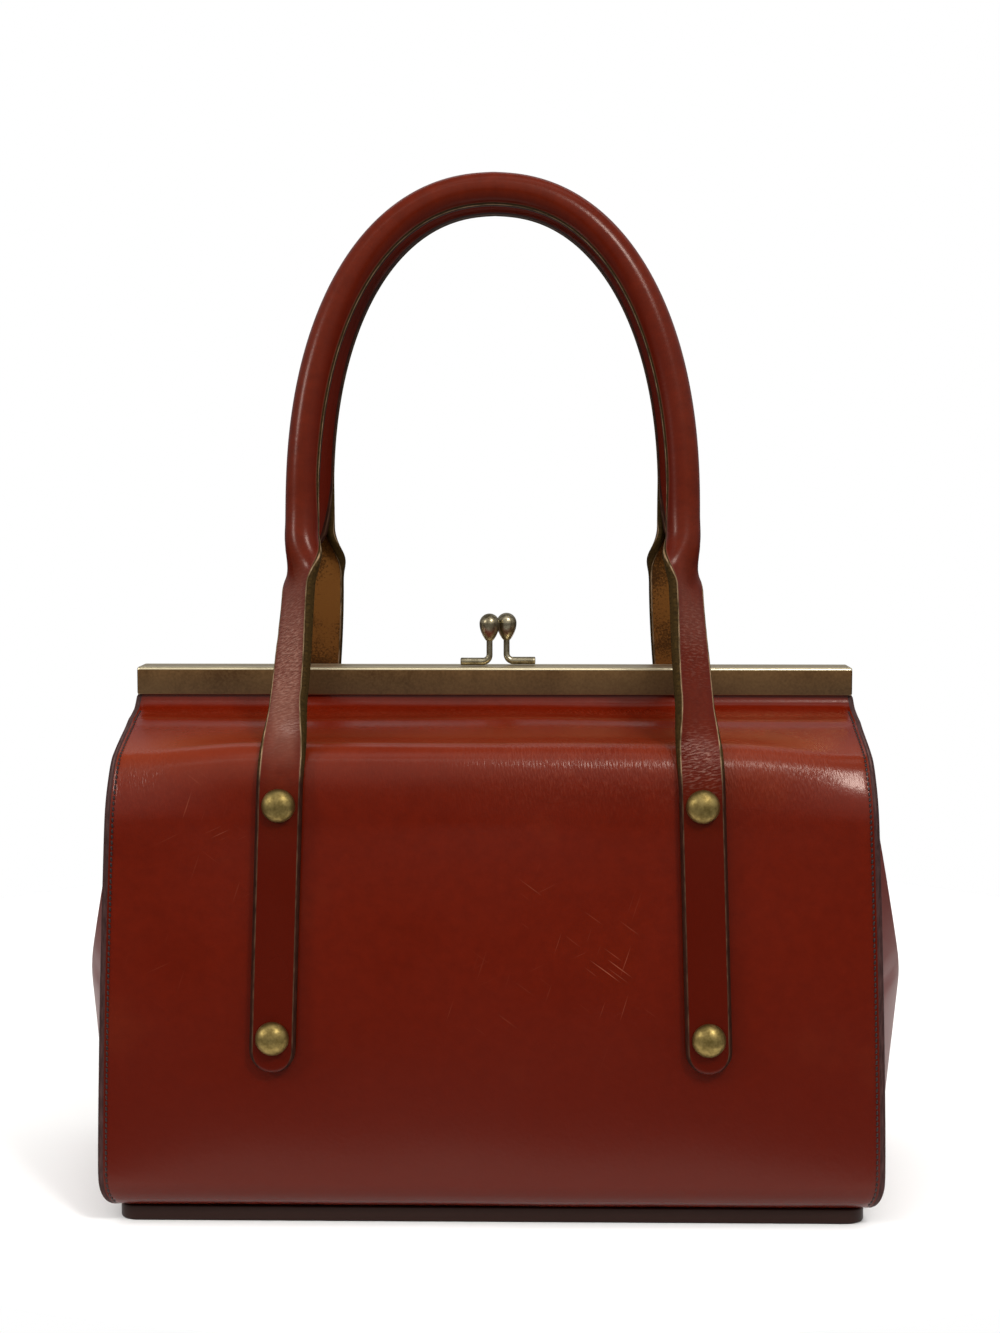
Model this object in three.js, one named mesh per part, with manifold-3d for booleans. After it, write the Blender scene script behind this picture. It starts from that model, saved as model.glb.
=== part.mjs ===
// Leather frame bag: two sheets of leather and two side gussets on a brass channel frame with a
// kiss-lock clasp, carried by two rolled handles that are riveted to the front and the back.
// Millimetres, +Z up, +X to the right and -Y to the front. The origin is under the middle of the base.
import * as THREE from "three";
import { mergeVertices } from "three/addons/utils/BufferGeometryUtils.js";
import Module from "manifold-3d";

const wasm = await Module();
wasm.setup();

// Clearances
const SEAT_GAP = 0.3; // between two pieces that lie on each other
const TURNING_GAP = 0.4; // between two pieces that turn past each other
const BORE_GAP = 0.2; // radial, between a shank and its hole

// Leather sheets and what backs them
const PANEL_THICKNESS = 2.2;
const GUSSET_THICKNESS = 1.8;
const STIFFENER_THICKNESS = 1.8;
const LINING_THICKNESS = 0.8;

// Side profile of the front, from the base up to the frame
const BASE_HALF_DEPTH = 65;
const SHOULDER_HALF_DEPTH = 60;
const SHOULDER_HEIGHT = 157.5;
const BASE_EDGE_RADIUS = 11;
const SHOULDER_RADIUS = 13;
const SHOULDER_SPLIT_ANGLE = 33; // degrees of the shoulder below the line where the sheet starts to flex
const NECK_ANGLE = 72; // degrees between the neck and the upright
const NECK_TOP_RADIUS = 5;
const TURN_UNDER_WIDTH = 32;
const PANEL_WIDTH_AT_BASE = 282;

// Base
const BASE_PANEL_THICKNESS = 5.5;
const BASE_PANEL_INSET = 8; // from the front of the bag
const BASE_PANEL_END_INSET = 9; // from the side edges of the bag
const BASE_BOARD_THICKNESS = 2.5;
const BASE_BOARD_MARGIN = 9;

// Frame
const FRAME_LENGTH = 270;
const FRAME_FACE_HEIGHT = 10.5;
const FRAME_HALF_THICKNESS = 8.3;
const FRAME_WALL = 1;
const FRAME_INSERT_DEPTH = 8; // how far the leather goes up into the channel
const PACKING_DIAMETER = 2;
const ARM_THICKNESS = 2;
const ARM_INSET = 13; // the front half's arms, from the ends of the frame
const ARM_TOP_WIDTH = 3.2;
const ARM_EYE_RADIUS = 4.5;
const HINGE_BELOW_FRAME = 48.5;
const HINGE_RIVET_RADIUS = 1.5;
const HINGE_HEAD_RADIUS = 3.6;
const HINGE_HEAD_HEIGHT = 1.4;

// Clasp
const CLASP_ROD_RADIUS = 1.45;
const CLASP_BALL_RADIUS = 3.8;
const CLASP_HEIGHT = 20;
const CLASP_FOOT_LENGTH = 11;
const CLASP_BEND_RADIUS = 2.4;
const CLASP_BALL_OFFSET_X = 3.1; // each ball from the middle of the clasp
const CLASP_BALL_OFFSET_Y = 2.5;
const CLASP_FOOT_OFFSET_Y = 2.3;
const CLASP_CENTRE_X = 1.5;

// Gussets
const GUSSET_FLANGE_WIDTH = 5;
const GUSSET_RIDGE_HEIGHT = 82.5;
const GUSSET_RIDGE_BULGE = 17; // each bulge is past the edges of the sheets
const GUSSET_FOOT_BULGE = 6;
const GUSSET_CROWN_BULGE = 3;
const GUSSET_TOP_BELOW_FRAME = 9.5;
const GUSSET_FLEX_BELOW_HINGE = 3; // the gusset flexes above this line

// Straps and their studs
const STRAP_WIDTH = 16.5;
const STRAP_THICKNESS = 3.6;
const STRAP_END_BELOW_STUD = 12.6;
const LOWER_STUD_X = 77.5;
const UPPER_STUD_BELOW_SHOULDER = 4.5;
const STUD_SPACING = 83;
const STRAP_LEAN = 1.7; // degrees, towards the middle of the bag
const STRAP_BEND_ABOVE_STUD = 10.5;
const STUD_RADIUS = 6;
const STUD_HEIGHT = 5;
const STUD_SHANK_RADIUS = 1.5;
const STUD_BACK_RADIUS = 4.4;
const STUD_BACK_THICKNESS = 1.5;

// Handles
const ARCH_HALF_WIDTH = 69.6; // to the middle of the roll
const ARCH_FOOT_ABOVE_SHOULDER = 101.5;
const ARCH_RISE = 115.8;
const ARCH_POWER = 2.2; // the arch is a superellipse
const ARCH_FOOT_DEPTH = 29; // in front of the middle of the bag
const ARCH_TOP_DEPTH = 15;
const ROLL_WIDTH = 27.4; // the strip's width where it is rolled
const ROLL_ANGLE = 345; // degrees that the strip is rolled through
const ROLL_BELOW_FOOT = 31; // below the arch's foot, where the strip starts to roll
const ROLL_LENGTH = 22;
const STRAP_NECK_WIDTH = 19; // just below the roll
const TWIST_AT_ROLL = { front: 58, rear: 30 }; // degrees that the strap has turned outwards
const CORE_RADIUS = 2.1;

// Faceting
const ARC_STEP = 15; // degrees
const STRIP_POINTS = 9;
const ROUND_SIDES = 12;

// Finishes
const finish = (color, roughness, metalness = 0) =>
  new THREE.MeshStandardMaterial({ color, roughness, metalness });
const redLeather = finish(0x6e1a10, 0.42);
const strapLeather = finish(0x651a14, 0.5);
const gussetLeather = finish(0x5f1c16, 0.46);
const baseLeather = finish(0x2e100c, 0.6);
const agedBrass = finish(0x84723f, 0.34, 1);
const claspNickel = finish(0x8b8272, 0.26, 1);
const liningCloth = finish(0x6b4a2c, 0.9);
const board = finish(0x8a7358, 0.9);
const cotton = finish(0xb7a583, 0.95);

const radians = THREE.MathUtils.degToRad;
const lerp = THREE.MathUtils.lerp;
const smooth = (value, from, to) => THREE.MathUtils.smoothstep(value, from, to);

// Solids and meshes

function solidOf(geometry) {
  const bare = geometry.index ? geometry.toNonIndexed() : geometry.clone();
  const points = new THREE.BufferGeometry().setAttribute("position", bare.getAttribute("position"));
  const merged = mergeVertices(points, 1e-3);
  const mesh = new wasm.Mesh({
    numProp: 3,
    vertProperties: merged.attributes.position.array,
    triVerts: new Uint32Array(merged.index.array),
  });
  return new wasm.Manifold(mesh);
}

function geometryOf(solid) {
  const mesh = solid.getMesh();
  return new THREE.BufferGeometry()
    .setAttribute("position", new THREE.BufferAttribute(new Float32Array(mesh.vertProperties), 3))
    .setIndex(new THREE.BufferAttribute(new Uint32Array(mesh.triVerts), 1));
}

const cut = (body, tools) =>
  geometryOf(tools.reduce((solid, tool) => solid.subtract(solidOf(tool)), solidOf(body)));
const join = (bodies) => geometryOf(bodies.map(solidOf).reduce((whole, body) => whole.add(body)));

function addMesh(group, name, geometry, material) {
  const mesh = new THREE.Mesh(geometry, material);
  mesh.name = name;
  group.add(mesh);
  return mesh;
}

// A closed solid through rings of as many points each. The section gives the rings' outline in a plane.
function loft(rings, section) {
  const count = rings[0].length;
  const caps = THREE.ShapeUtils.triangulateShape(section, []);
  const turned = THREE.ShapeUtils.isClockWise(section);
  const points = rings.flat().flatMap((p) => [p.x, p.y, p.z]);
  const last = (rings.length - 1) * count;
  const faces = [];
  for (let ring = 0; ring + 1 < rings.length; ring++)
    for (let i = 0; i < count; i++) {
      const a = ring * count + i;
      const b = ring * count + ((i + 1) % count);
      faces.push(a, b, b + count, a, b + count, a + count);
    }
  for (const [a, b, c] of caps) {
    faces.push(c, b, a, last + a, last + b, last + c);
  }
  if (turned)
    for (let i = 0; i < 6 * count * (rings.length - 1); i += 3)
      [faces[i], faces[i + 1]] = [faces[i + 1], faces[i]];
  return new THREE.BufferGeometry()
    .setAttribute("position", new THREE.Float32BufferAttribute(points, 3))
    .setIndex(faces);
}

// Side profile: a walk along the outside of the front sheet, as distances in front of the bag's middle and heights

function walk(start, steps) {
  let { out, height, heading } = start;
  const points = [{ out, height, heading }];
  for (const { length = 0, radius = 0, sweep = 0 } of steps) {
    if (length) {
      out += length * Math.cos(heading);
      height += length * Math.sin(heading);
      points.push({ out, height, heading });
      continue;
    }
    const side = Math.sign(sweep);
    const facets = Math.ceil(Math.abs(sweep) / radians(ARC_STEP));
    const centreOut = out - side * radius * Math.sin(heading);
    const centreHeight = height + side * radius * Math.cos(heading);
    for (let i = 1; i <= facets; i++) {
      const turned = heading + (sweep * i) / facets;
      out = centreOut + side * radius * Math.sin(turned);
      height = centreHeight - side * radius * Math.cos(turned);
      points.push({ out, height, heading: turned });
    }
    heading += sweep;
  }
  return points;
}

const inside = ({ out, height, heading }, depth) => ({
  out: out - depth * Math.sin(heading),
  height: height + depth * Math.cos(heading),
});

const ahead = ({ out, height, heading }, distance) => ({
  out: out + distance * Math.cos(heading),
  height: height + distance * Math.sin(heading),
  heading,
});

const UPRIGHT = Math.PI / 2;
const undersideHeight = BASE_PANEL_THICKNESS + SEAT_GAP;
const frontLean = Math.atan2(
  BASE_HALF_DEPTH - SHOULDER_HALF_DEPTH,
  SHOULDER_HEIGHT - undersideHeight - BASE_EDGE_RADIUS,
);
const baseEdgeSweep = UPRIGHT + frontLean;
const shoulderLow = radians(SHOULDER_SPLIT_ANGLE) - frontLean;
const neckAngle = radians(NECK_ANGLE);

const edgeStart = BASE_HALF_DEPTH - BASE_EDGE_RADIUS;
const edgeTop = {
  out: edgeStart + BASE_EDGE_RADIUS * Math.cos(frontLean),
  height: undersideHeight + BASE_EDGE_RADIUS * (1 + Math.sin(frontLean)),
};
const frontLength = (SHOULDER_HEIGHT - edgeTop.height) / Math.cos(frontLean);

const panelPath = walk({ out: edgeStart - TURN_UNDER_WIDTH, height: undersideHeight, heading: 0 }, [
  { length: TURN_UNDER_WIDTH },
  { radius: BASE_EDGE_RADIUS, sweep: baseEdgeSweep },
  { length: frontLength },
  { radius: SHOULDER_RADIUS, sweep: shoulderLow },
]);

const channelOut = FRAME_HALF_THICKNESS + SEAT_GAP / 2 - FRAME_WALL - SEAT_GAP; // outside of the leather in the frame
const neckStart = panelPath.at(-1);
const shoulderHigh = neckAngle - radians(SHOULDER_SPLIT_ANGLE);
const shoulderEnd = walk(neckStart, [{ radius: SHOULDER_RADIUS, sweep: shoulderHigh }]).at(-1);
const neckTopReach = NECK_TOP_RADIUS * (1 - Math.cos(neckAngle));
const neckLength = (shoulderEnd.out - channelOut - neckTopReach) / Math.sin(neckAngle);
const neckPath = walk(neckStart, [
  { radius: SHOULDER_RADIUS, sweep: shoulderHigh },
  { length: neckLength },
  { radius: NECK_TOP_RADIUS, sweep: -neckAngle },
  { length: FRAME_INSERT_DEPTH },
]);

const frameBottom = neckPath.at(-1).height - FRAME_INSERT_DEPTH;
const frameTop = frameBottom + FRAME_FACE_HEIGHT;
const hingeHeight = frameBottom - HINGE_BELOW_FRAME;
const frontPath = [...panelPath, ...neckPath.slice(1)];

// Half the sheet's width at a height: its edges run straight from the base to the frame.
const panelHalfWidth = (height) =>
  lerp(
    PANEL_WIDTH_AT_BASE / 2,
    FRAME_LENGTH / 2,
    (height - undersideHeight) / (frameBottom - undersideHeight),
  );

// How far in front of the middle the sheet is at a height, at a depth below its outside.
function outAt(height, depth) {
  const wall = frontPath.slice(1).map((point) => inside(point, depth));
  const after = wall.findIndex((point, i) => i > 0 && point.height >= height);
  const [low, high] = [wall[after - 1], wall[after]];
  return lerp(low.out, high.out, (height - low.height) / (high.height - low.height));
}

// A sheet between two depths below the outside of a path, across the bag, each edge inset from the panel's edge.
function sheetAcross(path, outerDepth, innerDepth, edgeInset) {
  const outer = path.map((point) => inside(point, outerDepth));
  const inner = path.map((point) => inside(point, innerDepth)).reverse();
  const outline = [...outer, ...inner].map((point) => new THREE.Vector2(-point.out, point.height));
  const geometry = new THREE.ExtrudeGeometry(new THREE.Shape(outline), { depth: 2, bevelEnabled: false });
  const place = geometry.getAttribute("position");
  for (let i = 0; i < place.count; i++) {
    const height = place.getY(i);
    place.setXYZ(i, (place.getZ(i) - 1) * (panelHalfWidth(height) - edgeInset), place.getX(i), height);
  }
  return geometry;
}

// Straps and studs: each strap has its own frame, with its origin at the lower stud on the sheet's outside

const strapRise = Math.cos(frontLean) * Math.cos(radians(STRAP_LEAN)); // height gained along a strap
const lowerStudHeight = SHOULDER_HEIGHT - UPPER_STUD_BELOW_SHOULDER - STUD_SPACING * strapRise;
const studOut = outAt(lowerStudHeight, 0);

function strapFrame(side) {
  const normal = new THREE.Vector3(0, -Math.cos(frontLean), Math.sin(frontLean));
  const rise = new THREE.Vector3(0, Math.sin(frontLean), Math.cos(frontLean));
  const lean = radians(STRAP_LEAN);
  const along = rise.multiplyScalar(Math.cos(lean)).add(new THREE.Vector3(-side * Math.sin(lean), 0, 0));
  const width = new THREE.Vector3().crossVectors(along, normal);
  return new THREE.Matrix4()
    .makeBasis(width, along, normal)
    .setPosition(side * LOWER_STUD_X, -studOut, lowerStudHeight);
}

const STUD_PLACES = { lower: 0, upper: STUD_SPACING };
const bendPlace = STUD_SPACING + STRAP_BEND_ABOVE_STUD;
const strapMiddle = SEAT_GAP + STRAP_THICKNESS / 2;
const shankHole = STUD_SHANK_RADIUS + BORE_GAP;

function strapEnd() {
  const half = STRAP_WIDTH / 2;
  const top = bendPlace - STRAP_THICKNESS / 2 - TURNING_GAP;
  const roundCentre = half - STRAP_END_BELOW_STUD;
  const shape = new THREE.Shape();
  shape.moveTo(half, top);
  shape.lineTo(-half, top);
  shape.lineTo(-half, roundCentre);
  shape.absarc(0, roundCentre, half, Math.PI, 2 * Math.PI);
  shape.closePath();
  for (const place of Object.values(STUD_PLACES))
    shape.holes.push(new THREE.Path().absarc(0, place, shankHole, 0, 2 * Math.PI));
  return new THREE.ExtrudeGeometry(shape, {
    depth: STRAP_THICKNESS,
    bevelEnabled: false,
    curveSegments: ROUND_SIDES / 2,
  }).translate(0, 0, SEAT_GAP);
}

// A domed stud whose shank goes through the strap and the sheet to its back.
function stud() {
  const seat = 2 * SEAT_GAP + STRAP_THICKNESS;
  const shankEnd = -(PANEL_THICKNESS + SEAT_GAP + STUD_BACK_THICKNESS);
  const profile = [new THREE.Vector2(0, shankEnd), new THREE.Vector2(STUD_SHANK_RADIUS, shankEnd)];
  profile.push(new THREE.Vector2(STUD_SHANK_RADIUS, seat));
  const facets = 4;
  for (let i = 0; i <= facets; i++) {
    const angle = (UPRIGHT * i) / facets;
    profile.push(new THREE.Vector2(STUD_RADIUS * Math.cos(angle), seat + STUD_HEIGHT * Math.sin(angle)));
  }
  profile.at(-1).x = 0;
  return new THREE.LatheGeometry(profile, ROUND_SIDES).rotateX(UPRIGHT);
}

function studBack() {
  const near = -(PANEL_THICKNESS + SEAT_GAP);
  const far = near - STUD_BACK_THICKNESS;
  const profile = [
    new THREE.Vector2(shankHole, far),
    new THREE.Vector2(STUD_BACK_RADIUS, far),
    new THREE.Vector2(STUD_BACK_RADIUS, near),
    new THREE.Vector2(shankHole, near),
    new THREE.Vector2(shankHole, far),
  ];
  return new THREE.LatheGeometry(profile, ROUND_SIDES).rotateX(UPRIGHT);
}

// Holes of one radius through a sheet at all of its studs.
function studHoles(radius) {
  const length = 4 * (PANEL_THICKNESS + STIFFENER_THICKNESS);
  return [-1, 1].flatMap((side) =>
    Object.values(STUD_PLACES).map((place) =>
      new THREE.CylinderGeometry(radius, radius, length, ROUND_SIDES)
        .rotateX(UPRIGHT)
        .translate(0, place, 0)
        .applyMatrix4(strapFrame(side)),
    ),
  );
}

// Frame: a channel that is open below, with an arm at each end down to the hinge

function frameHalf(armX) {
  const middle = -(SEAT_GAP / 2 + FRAME_HALF_THICKNESS / 2);
  const bar = new THREE.BoxGeometry(FRAME_LENGTH, FRAME_HALF_THICKNESS, FRAME_FACE_HEIGHT);
  bar.translate(0, middle, frameBottom + FRAME_FACE_HEIGHT / 2);
  const slot = new THREE.BoxGeometry(
    FRAME_LENGTH + 2 * FRAME_WALL,
    FRAME_HALF_THICKNESS - 2 * FRAME_WALL,
    FRAME_FACE_HEIGHT,
  );
  slot.translate(0, middle, frameBottom + FRAME_FACE_HEIGHT / 2 - FRAME_WALL);
  const shape = new THREE.Shape();
  const inner = -SEAT_GAP / 2;
  const top = frameTop - FRAME_WALL / 2;
  shape.moveTo(inner, top);
  shape.lineTo(inner - ARM_TOP_WIDTH, top);
  shape.lineTo(inner - ARM_TOP_WIDTH, frameBottom);
  shape.lineTo(-ARM_EYE_RADIUS, hingeHeight);
  shape.absarc(0, hingeHeight, ARM_EYE_RADIUS, Math.PI, 2 * Math.PI);
  shape.lineTo(inner, frameBottom);
  shape.closePath();
  const hole = HINGE_RIVET_RADIUS + BORE_GAP;
  shape.holes.push(new THREE.Path().absarc(0, hingeHeight, hole, 0, 2 * Math.PI));
  const toWorld = new THREE.Matrix4().makeBasis(
    new THREE.Vector3(0, 1, 0),
    new THREE.Vector3(0, 0, 1),
    new THREE.Vector3(1, 0, 0),
  );
  const arms = [armX, -armX - ARM_THICKNESS].map((x) =>
    new THREE.ExtrudeGeometry(shape, { depth: ARM_THICKNESS, bevelEnabled: false, curveSegments: ROUND_SIDES / 2 })
      .applyMatrix4(toWorld)
      .translate(x, 0, 0),
  );
  return join([geometryOf(solidOf(bar).subtract(solidOf(slot))), ...arms]);
}

const innerArmX = FRAME_LENGTH / 2 - ARM_INSET;
const armInnerEnd = innerArmX - SEAT_GAP;
const outerArmX = innerArmX + ARM_THICKNESS + SEAT_GAP;

// A round cord that wedges the leather in the channel, between the arms.
function framePacking() {
  const radius = PACKING_DIAMETER / 2;
  const depth = SEAT_GAP / 2 + FRAME_WALL + SEAT_GAP + radius;
  return new THREE.CylinderGeometry(radius, radius, 2 * (armInnerEnd - SEAT_GAP), ROUND_SIDES)
    .rotateZ(UPRIGHT)
    .translate(0, -depth, frameTop - FRAME_WALL - SEAT_GAP - radius);
}

// A rivet through both arms of one end, with a head on each side.
function hingeRivet() {
  const length = 2 * ARM_THICKNESS + 3 * SEAT_GAP;
  const profile = [
    [0, -HINGE_HEAD_HEIGHT],
    [HINGE_HEAD_RADIUS, -HINGE_HEAD_HEIGHT],
    [HINGE_HEAD_RADIUS, 0],
    [HINGE_RIVET_RADIUS, 0],
    [HINGE_RIVET_RADIUS, length],
    [HINGE_HEAD_RADIUS, length],
    [HINGE_HEAD_RADIUS, length + HINGE_HEAD_HEIGHT],
    [0, length + HINGE_HEAD_HEIGHT],
  ].map(([radius, along]) => new THREE.Vector2(radius, along));
  return new THREE.LatheGeometry(profile, ROUND_SIDES).rotateZ(-UPRIGHT);
}

// Clasp: a rod lies along the frame, bends up and ends in a pear-shaped knob

function claspKnob(centreX) {
  const seat = frameTop + SEAT_GAP + CLASP_ROD_RADIUS;
  const knobX = centreX - CLASP_BALL_OFFSET_X;
  const ballHeight = frameTop + CLASP_HEIGHT - CLASP_BALL_RADIUS;
  const foot = -CLASP_FOOT_OFFSET_Y;
  const ball = -CLASP_BALL_OFFSET_Y;
  const path = new THREE.CatmullRomCurve3(
    [
      [knobX - CLASP_FOOT_LENGTH, foot, seat],
      [knobX - CLASP_BEND_RADIUS - CLASP_ROD_RADIUS, foot, seat],
      [knobX - CLASP_BEND_RADIUS * 0.3, foot, seat + CLASP_BEND_RADIUS * 0.3],
      [knobX, (foot + ball) / 2, seat + CLASP_BEND_RADIUS + CLASP_ROD_RADIUS],
      [knobX, ball, ballHeight],
    ].map((point) => new THREE.Vector3(...point)),
    false,
    "centripetal",
  );
  const section = new THREE.Shape().absarc(0, 0, CLASP_ROD_RADIUS, 0, 2 * Math.PI);
  const rod = new THREE.ExtrudeGeometry(section, {
    steps: 9,
    curveSegments: ROUND_SIDES / 2 - 1,
    extrudePath: path,
    bevelEnabled: false,
  });
  const profile = [];
  const facets = 7;
  const neckDrop = 1.75 * CLASP_BALL_RADIUS;
  for (let i = 0; i <= facets; i++) {
    const angle = -UPRIGHT + (Math.PI * i) / facets;
    const stretch = angle < 0 ? neckDrop : CLASP_BALL_RADIUS;
    profile.push(new THREE.Vector2(CLASP_BALL_RADIUS * Math.cos(angle), stretch * Math.sin(angle)));
  }
  profile[0].x = 0;
  profile.at(-1).x = 0;
  const head = new THREE.LatheGeometry(profile, ROUND_SIDES).rotateX(UPRIGHT).translate(knobX, ball, ballHeight);
  return join([rod, head]);
}

// Gussets: a flange behind the edge of each sheet, and a wall between them that stands out in a ridge

// How far out the middle of the gusset stands at a height.
function ridgeAt(height) {
  const foot = undersideHeight + PANEL_THICKNESS;
  const below = (height - foot) / (GUSSET_RIDGE_HEIGHT - foot);
  const above = (height - GUSSET_RIDGE_HEIGHT) / (frameBottom - GUSSET_RIDGE_HEIGHT);
  const bulge =
    height < GUSSET_RIDGE_HEIGHT
      ? lerp(GUSSET_FOOT_BULGE, GUSSET_RIDGE_BULGE, below)
      : lerp(GUSSET_RIDGE_BULGE, GUSSET_CROWN_BULGE, above);
  return panelHalfWidth(height) + bulge;
}

const flangeDepth = PANEL_THICKNESS + SEAT_GAP;
const baseHalfWidth = panelHalfWidth(undersideHeight) - GUSSET_FLANGE_WIDTH;
const baseBoardHalfWidth = baseHalfWidth - BASE_BOARD_MARGIN;
const WALL_SHARES = [0, 0.3, 0.65, 1];

// The wall from its front bend to its ridge: a share of the way, and how much of the bulge it has there.
const wallPoint = (share, from, ridge, out) =>
  new THREE.Vector2(from + (ridge - from) * (1.3 * share - 0.3 * share * share), -out * (1 - share));

function gussetSection(height) {
  const edge = panelHalfWidth(height);
  const near = outAt(height, flangeDepth);
  const far = outAt(height, flangeDepth + GUSSET_THICKNESS);
  const bend = edge - GUSSET_FLANGE_WIDTH;
  const ridge = ridgeAt(height);
  const outer = WALL_SHARES.map((share) => wallPoint(share, bend, ridge, far));
  const inner = WALL_SHARES.map((share) =>
    wallPoint(share, bend - GUSSET_THICKNESS, ridge - GUSSET_THICKNESS, near),
  );
  const half = [new THREE.Vector2(edge, -near), ...inner];
  const otherHalf = [...outer.toReversed(), new THREE.Vector2(edge, -far)];
  const behind = (points) => points.map((point) => new THREE.Vector2(point.x, -point.y));
  return [
    ...half,
    ...behind(half.slice(0, -1)).toReversed(),
    ...behind(otherHalf).toReversed(),
    ...otherHalf.slice(1),
  ];
}

function gusset(side, heights) {
  const sections = heights.map(gussetSection);
  const sided = sections.map((section) => section.map((point) => new THREE.Vector2(side * point.x, point.y)));
  const rings = sided.map((section, i) => section.map((point) => new THREE.Vector3(point.x, point.y, heights[i])));
  return loft(rings, sided[0]);
}

// The gusset's lower edge, turned in over the base beside the base board.
function gussetTurnIn(side) {
  const bottom = undersideHeight + flangeDepth;
  const bend = panelHalfWidth(gussetFoot) - GUSSET_FLANGE_WIDTH;
  const half = WALL_SHARES.map((share) => wallPoint(share, bend, ridgeAt(gussetFoot), edgeStart - SEAT_GAP));
  const behind = half.slice(0, -1).map((point) => new THREE.Vector2(point.x, -point.y));
  const inner = baseBoardHalfWidth + SEAT_GAP;
  const outline = [
    new THREE.Vector2(inner, half[0].y),
    ...half,
    ...behind.toReversed(),
    new THREE.Vector2(inner, -half[0].y),
  ].map((point) => new THREE.Vector2(side * point.x, point.y));
  return new THREE.ExtrudeGeometry(new THREE.Shape(outline), {
    depth: gussetFoot - bottom + SEAT_GAP,
    bevelEnabled: false,
  }).translate(0, 0, bottom);
}

const steps = (from, to, count) => Array.from({ length: count + 1 }, (_, i) => lerp(from, to, i / count));
const gussetFoot = undersideHeight + flangeDepth + GUSSET_THICKNESS + SEAT_GAP;
const gussetFlexLine = hingeHeight - GUSSET_FLEX_BELOW_HINGE;
const gussetTop = frameBottom - GUSSET_TOP_BELOW_FRAME;
const gussetHeights = [
  ...steps(gussetFoot, undersideHeight + BASE_EDGE_RADIUS, 3),
  ...steps(undersideHeight + BASE_EDGE_RADIUS, GUSSET_RIDGE_HEIGHT, 3).slice(1),
  ...steps(GUSSET_RIDGE_HEIGHT, gussetFlexLine, 3).slice(1),
];
const gussetTopHeights = [
  ...steps(gussetFlexLine + SEAT_GAP, SHOULDER_HEIGHT, 1),
  ...steps(SHOULDER_HEIGHT, gussetTop, 6).slice(1),
];

// Lining: a tub that follows the inside of the sheets and the gussets

const liningDepth = PANEL_THICKNESS + STIFFENER_THICKNESS + 2 * SEAT_GAP;
const liningFloor = undersideHeight + PANEL_THICKNESS + BASE_BOARD_THICKNESS + 2 * SEAT_GAP;

function liningSection(height, inset) {
  const corner = panelHalfWidth(height) - GUSSET_FLANGE_WIDTH - GUSSET_THICKNESS - SEAT_GAP - inset;
  const ridge = ridgeAt(height) - GUSSET_THICKNESS - 2 * SEAT_GAP - inset;
  const front = outAt(height, liningDepth) - inset;
  const quarter = WALL_SHARES.map((share) => wallPoint(share, corner, ridge, front));
  const rear = quarter.slice(0, -1).map((point) => new THREE.Vector2(point.x, -point.y));
  const right = [...quarter, ...rear.toReversed()];
  const left = right.map((point) => new THREE.Vector2(-point.x, point.y)).toReversed();
  return [...right, ...left];
}

function tub(heights, inset) {
  const sections = heights.map((height) => liningSection(height, inset));
  const rings = sections.map((section, i) => section.map((p) => new THREE.Vector3(p.x, p.y, heights[i])));
  return loft(rings, sections[0]);
}

function lining() {
  const middle = gussetHeights.filter((height) => height > undersideHeight + BASE_EDGE_RADIUS / 2 + SEAT_GAP);
  const outer = tub([liningFloor, ...middle], 0);
  const floorTop = liningFloor + LINING_THICKNESS;
  const inner = tub([floorTop, ...middle.slice(0, -1), gussetFlexLine + LINING_THICKNESS], LINING_THICKNESS);
  return cut(outer, [inner]);
}

// Handles: one strip that is flat over the frame and rolled round a cord along the arch

const archFootHeight = SHOULDER_HEIGHT + ARCH_FOOT_ABOVE_SHOULDER;

// The middle of the handle's section from the left bend to the right one, in even steps of each stretch.
function handlePoints() {
  const bend = new THREE.Vector3(0, bendPlace, strapMiddle).applyMatrix4(strapFrame(-1));
  const foot = new THREE.Vector3(-ARCH_HALF_WIDTH, -ARCH_FOOT_DEPTH, archFootHeight);
  const left = steps(0, 1, 9).map((share) => {
    const inwards = smooth(share, 0, 0.3) * (1 - (1 - share) ** 3);
    const back = 1 - (1 - share) ** 1.3;
    return new THREE.Vector3(
      lerp(bend.x, foot.x, inwards),
      lerp(bend.y, foot.y, back),
      lerp(bend.z, foot.z, share),
    );
  });
  const quarter = steps(0, UPRIGHT, 10).map((angle) => {
    const rise = Math.sin(angle) ** (2 / ARCH_POWER);
    return new THREE.Vector3(
      -ARCH_HALF_WIDTH * Math.max(0, Math.cos(angle)) ** (2 / ARCH_POWER),
      -lerp(ARCH_FOOT_DEPTH, ARCH_TOP_DEPTH, rise),
      archFootHeight + ARCH_RISE * rise,
    );
  });
  const half = [...left, ...quarter.slice(1)];
  const top = half.pop();
  const mirrored = half.map((point) => new THREE.Vector3(-point.x, point.y, point.z));
  return [...half, top, ...mirrored.toReversed()];
}

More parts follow.
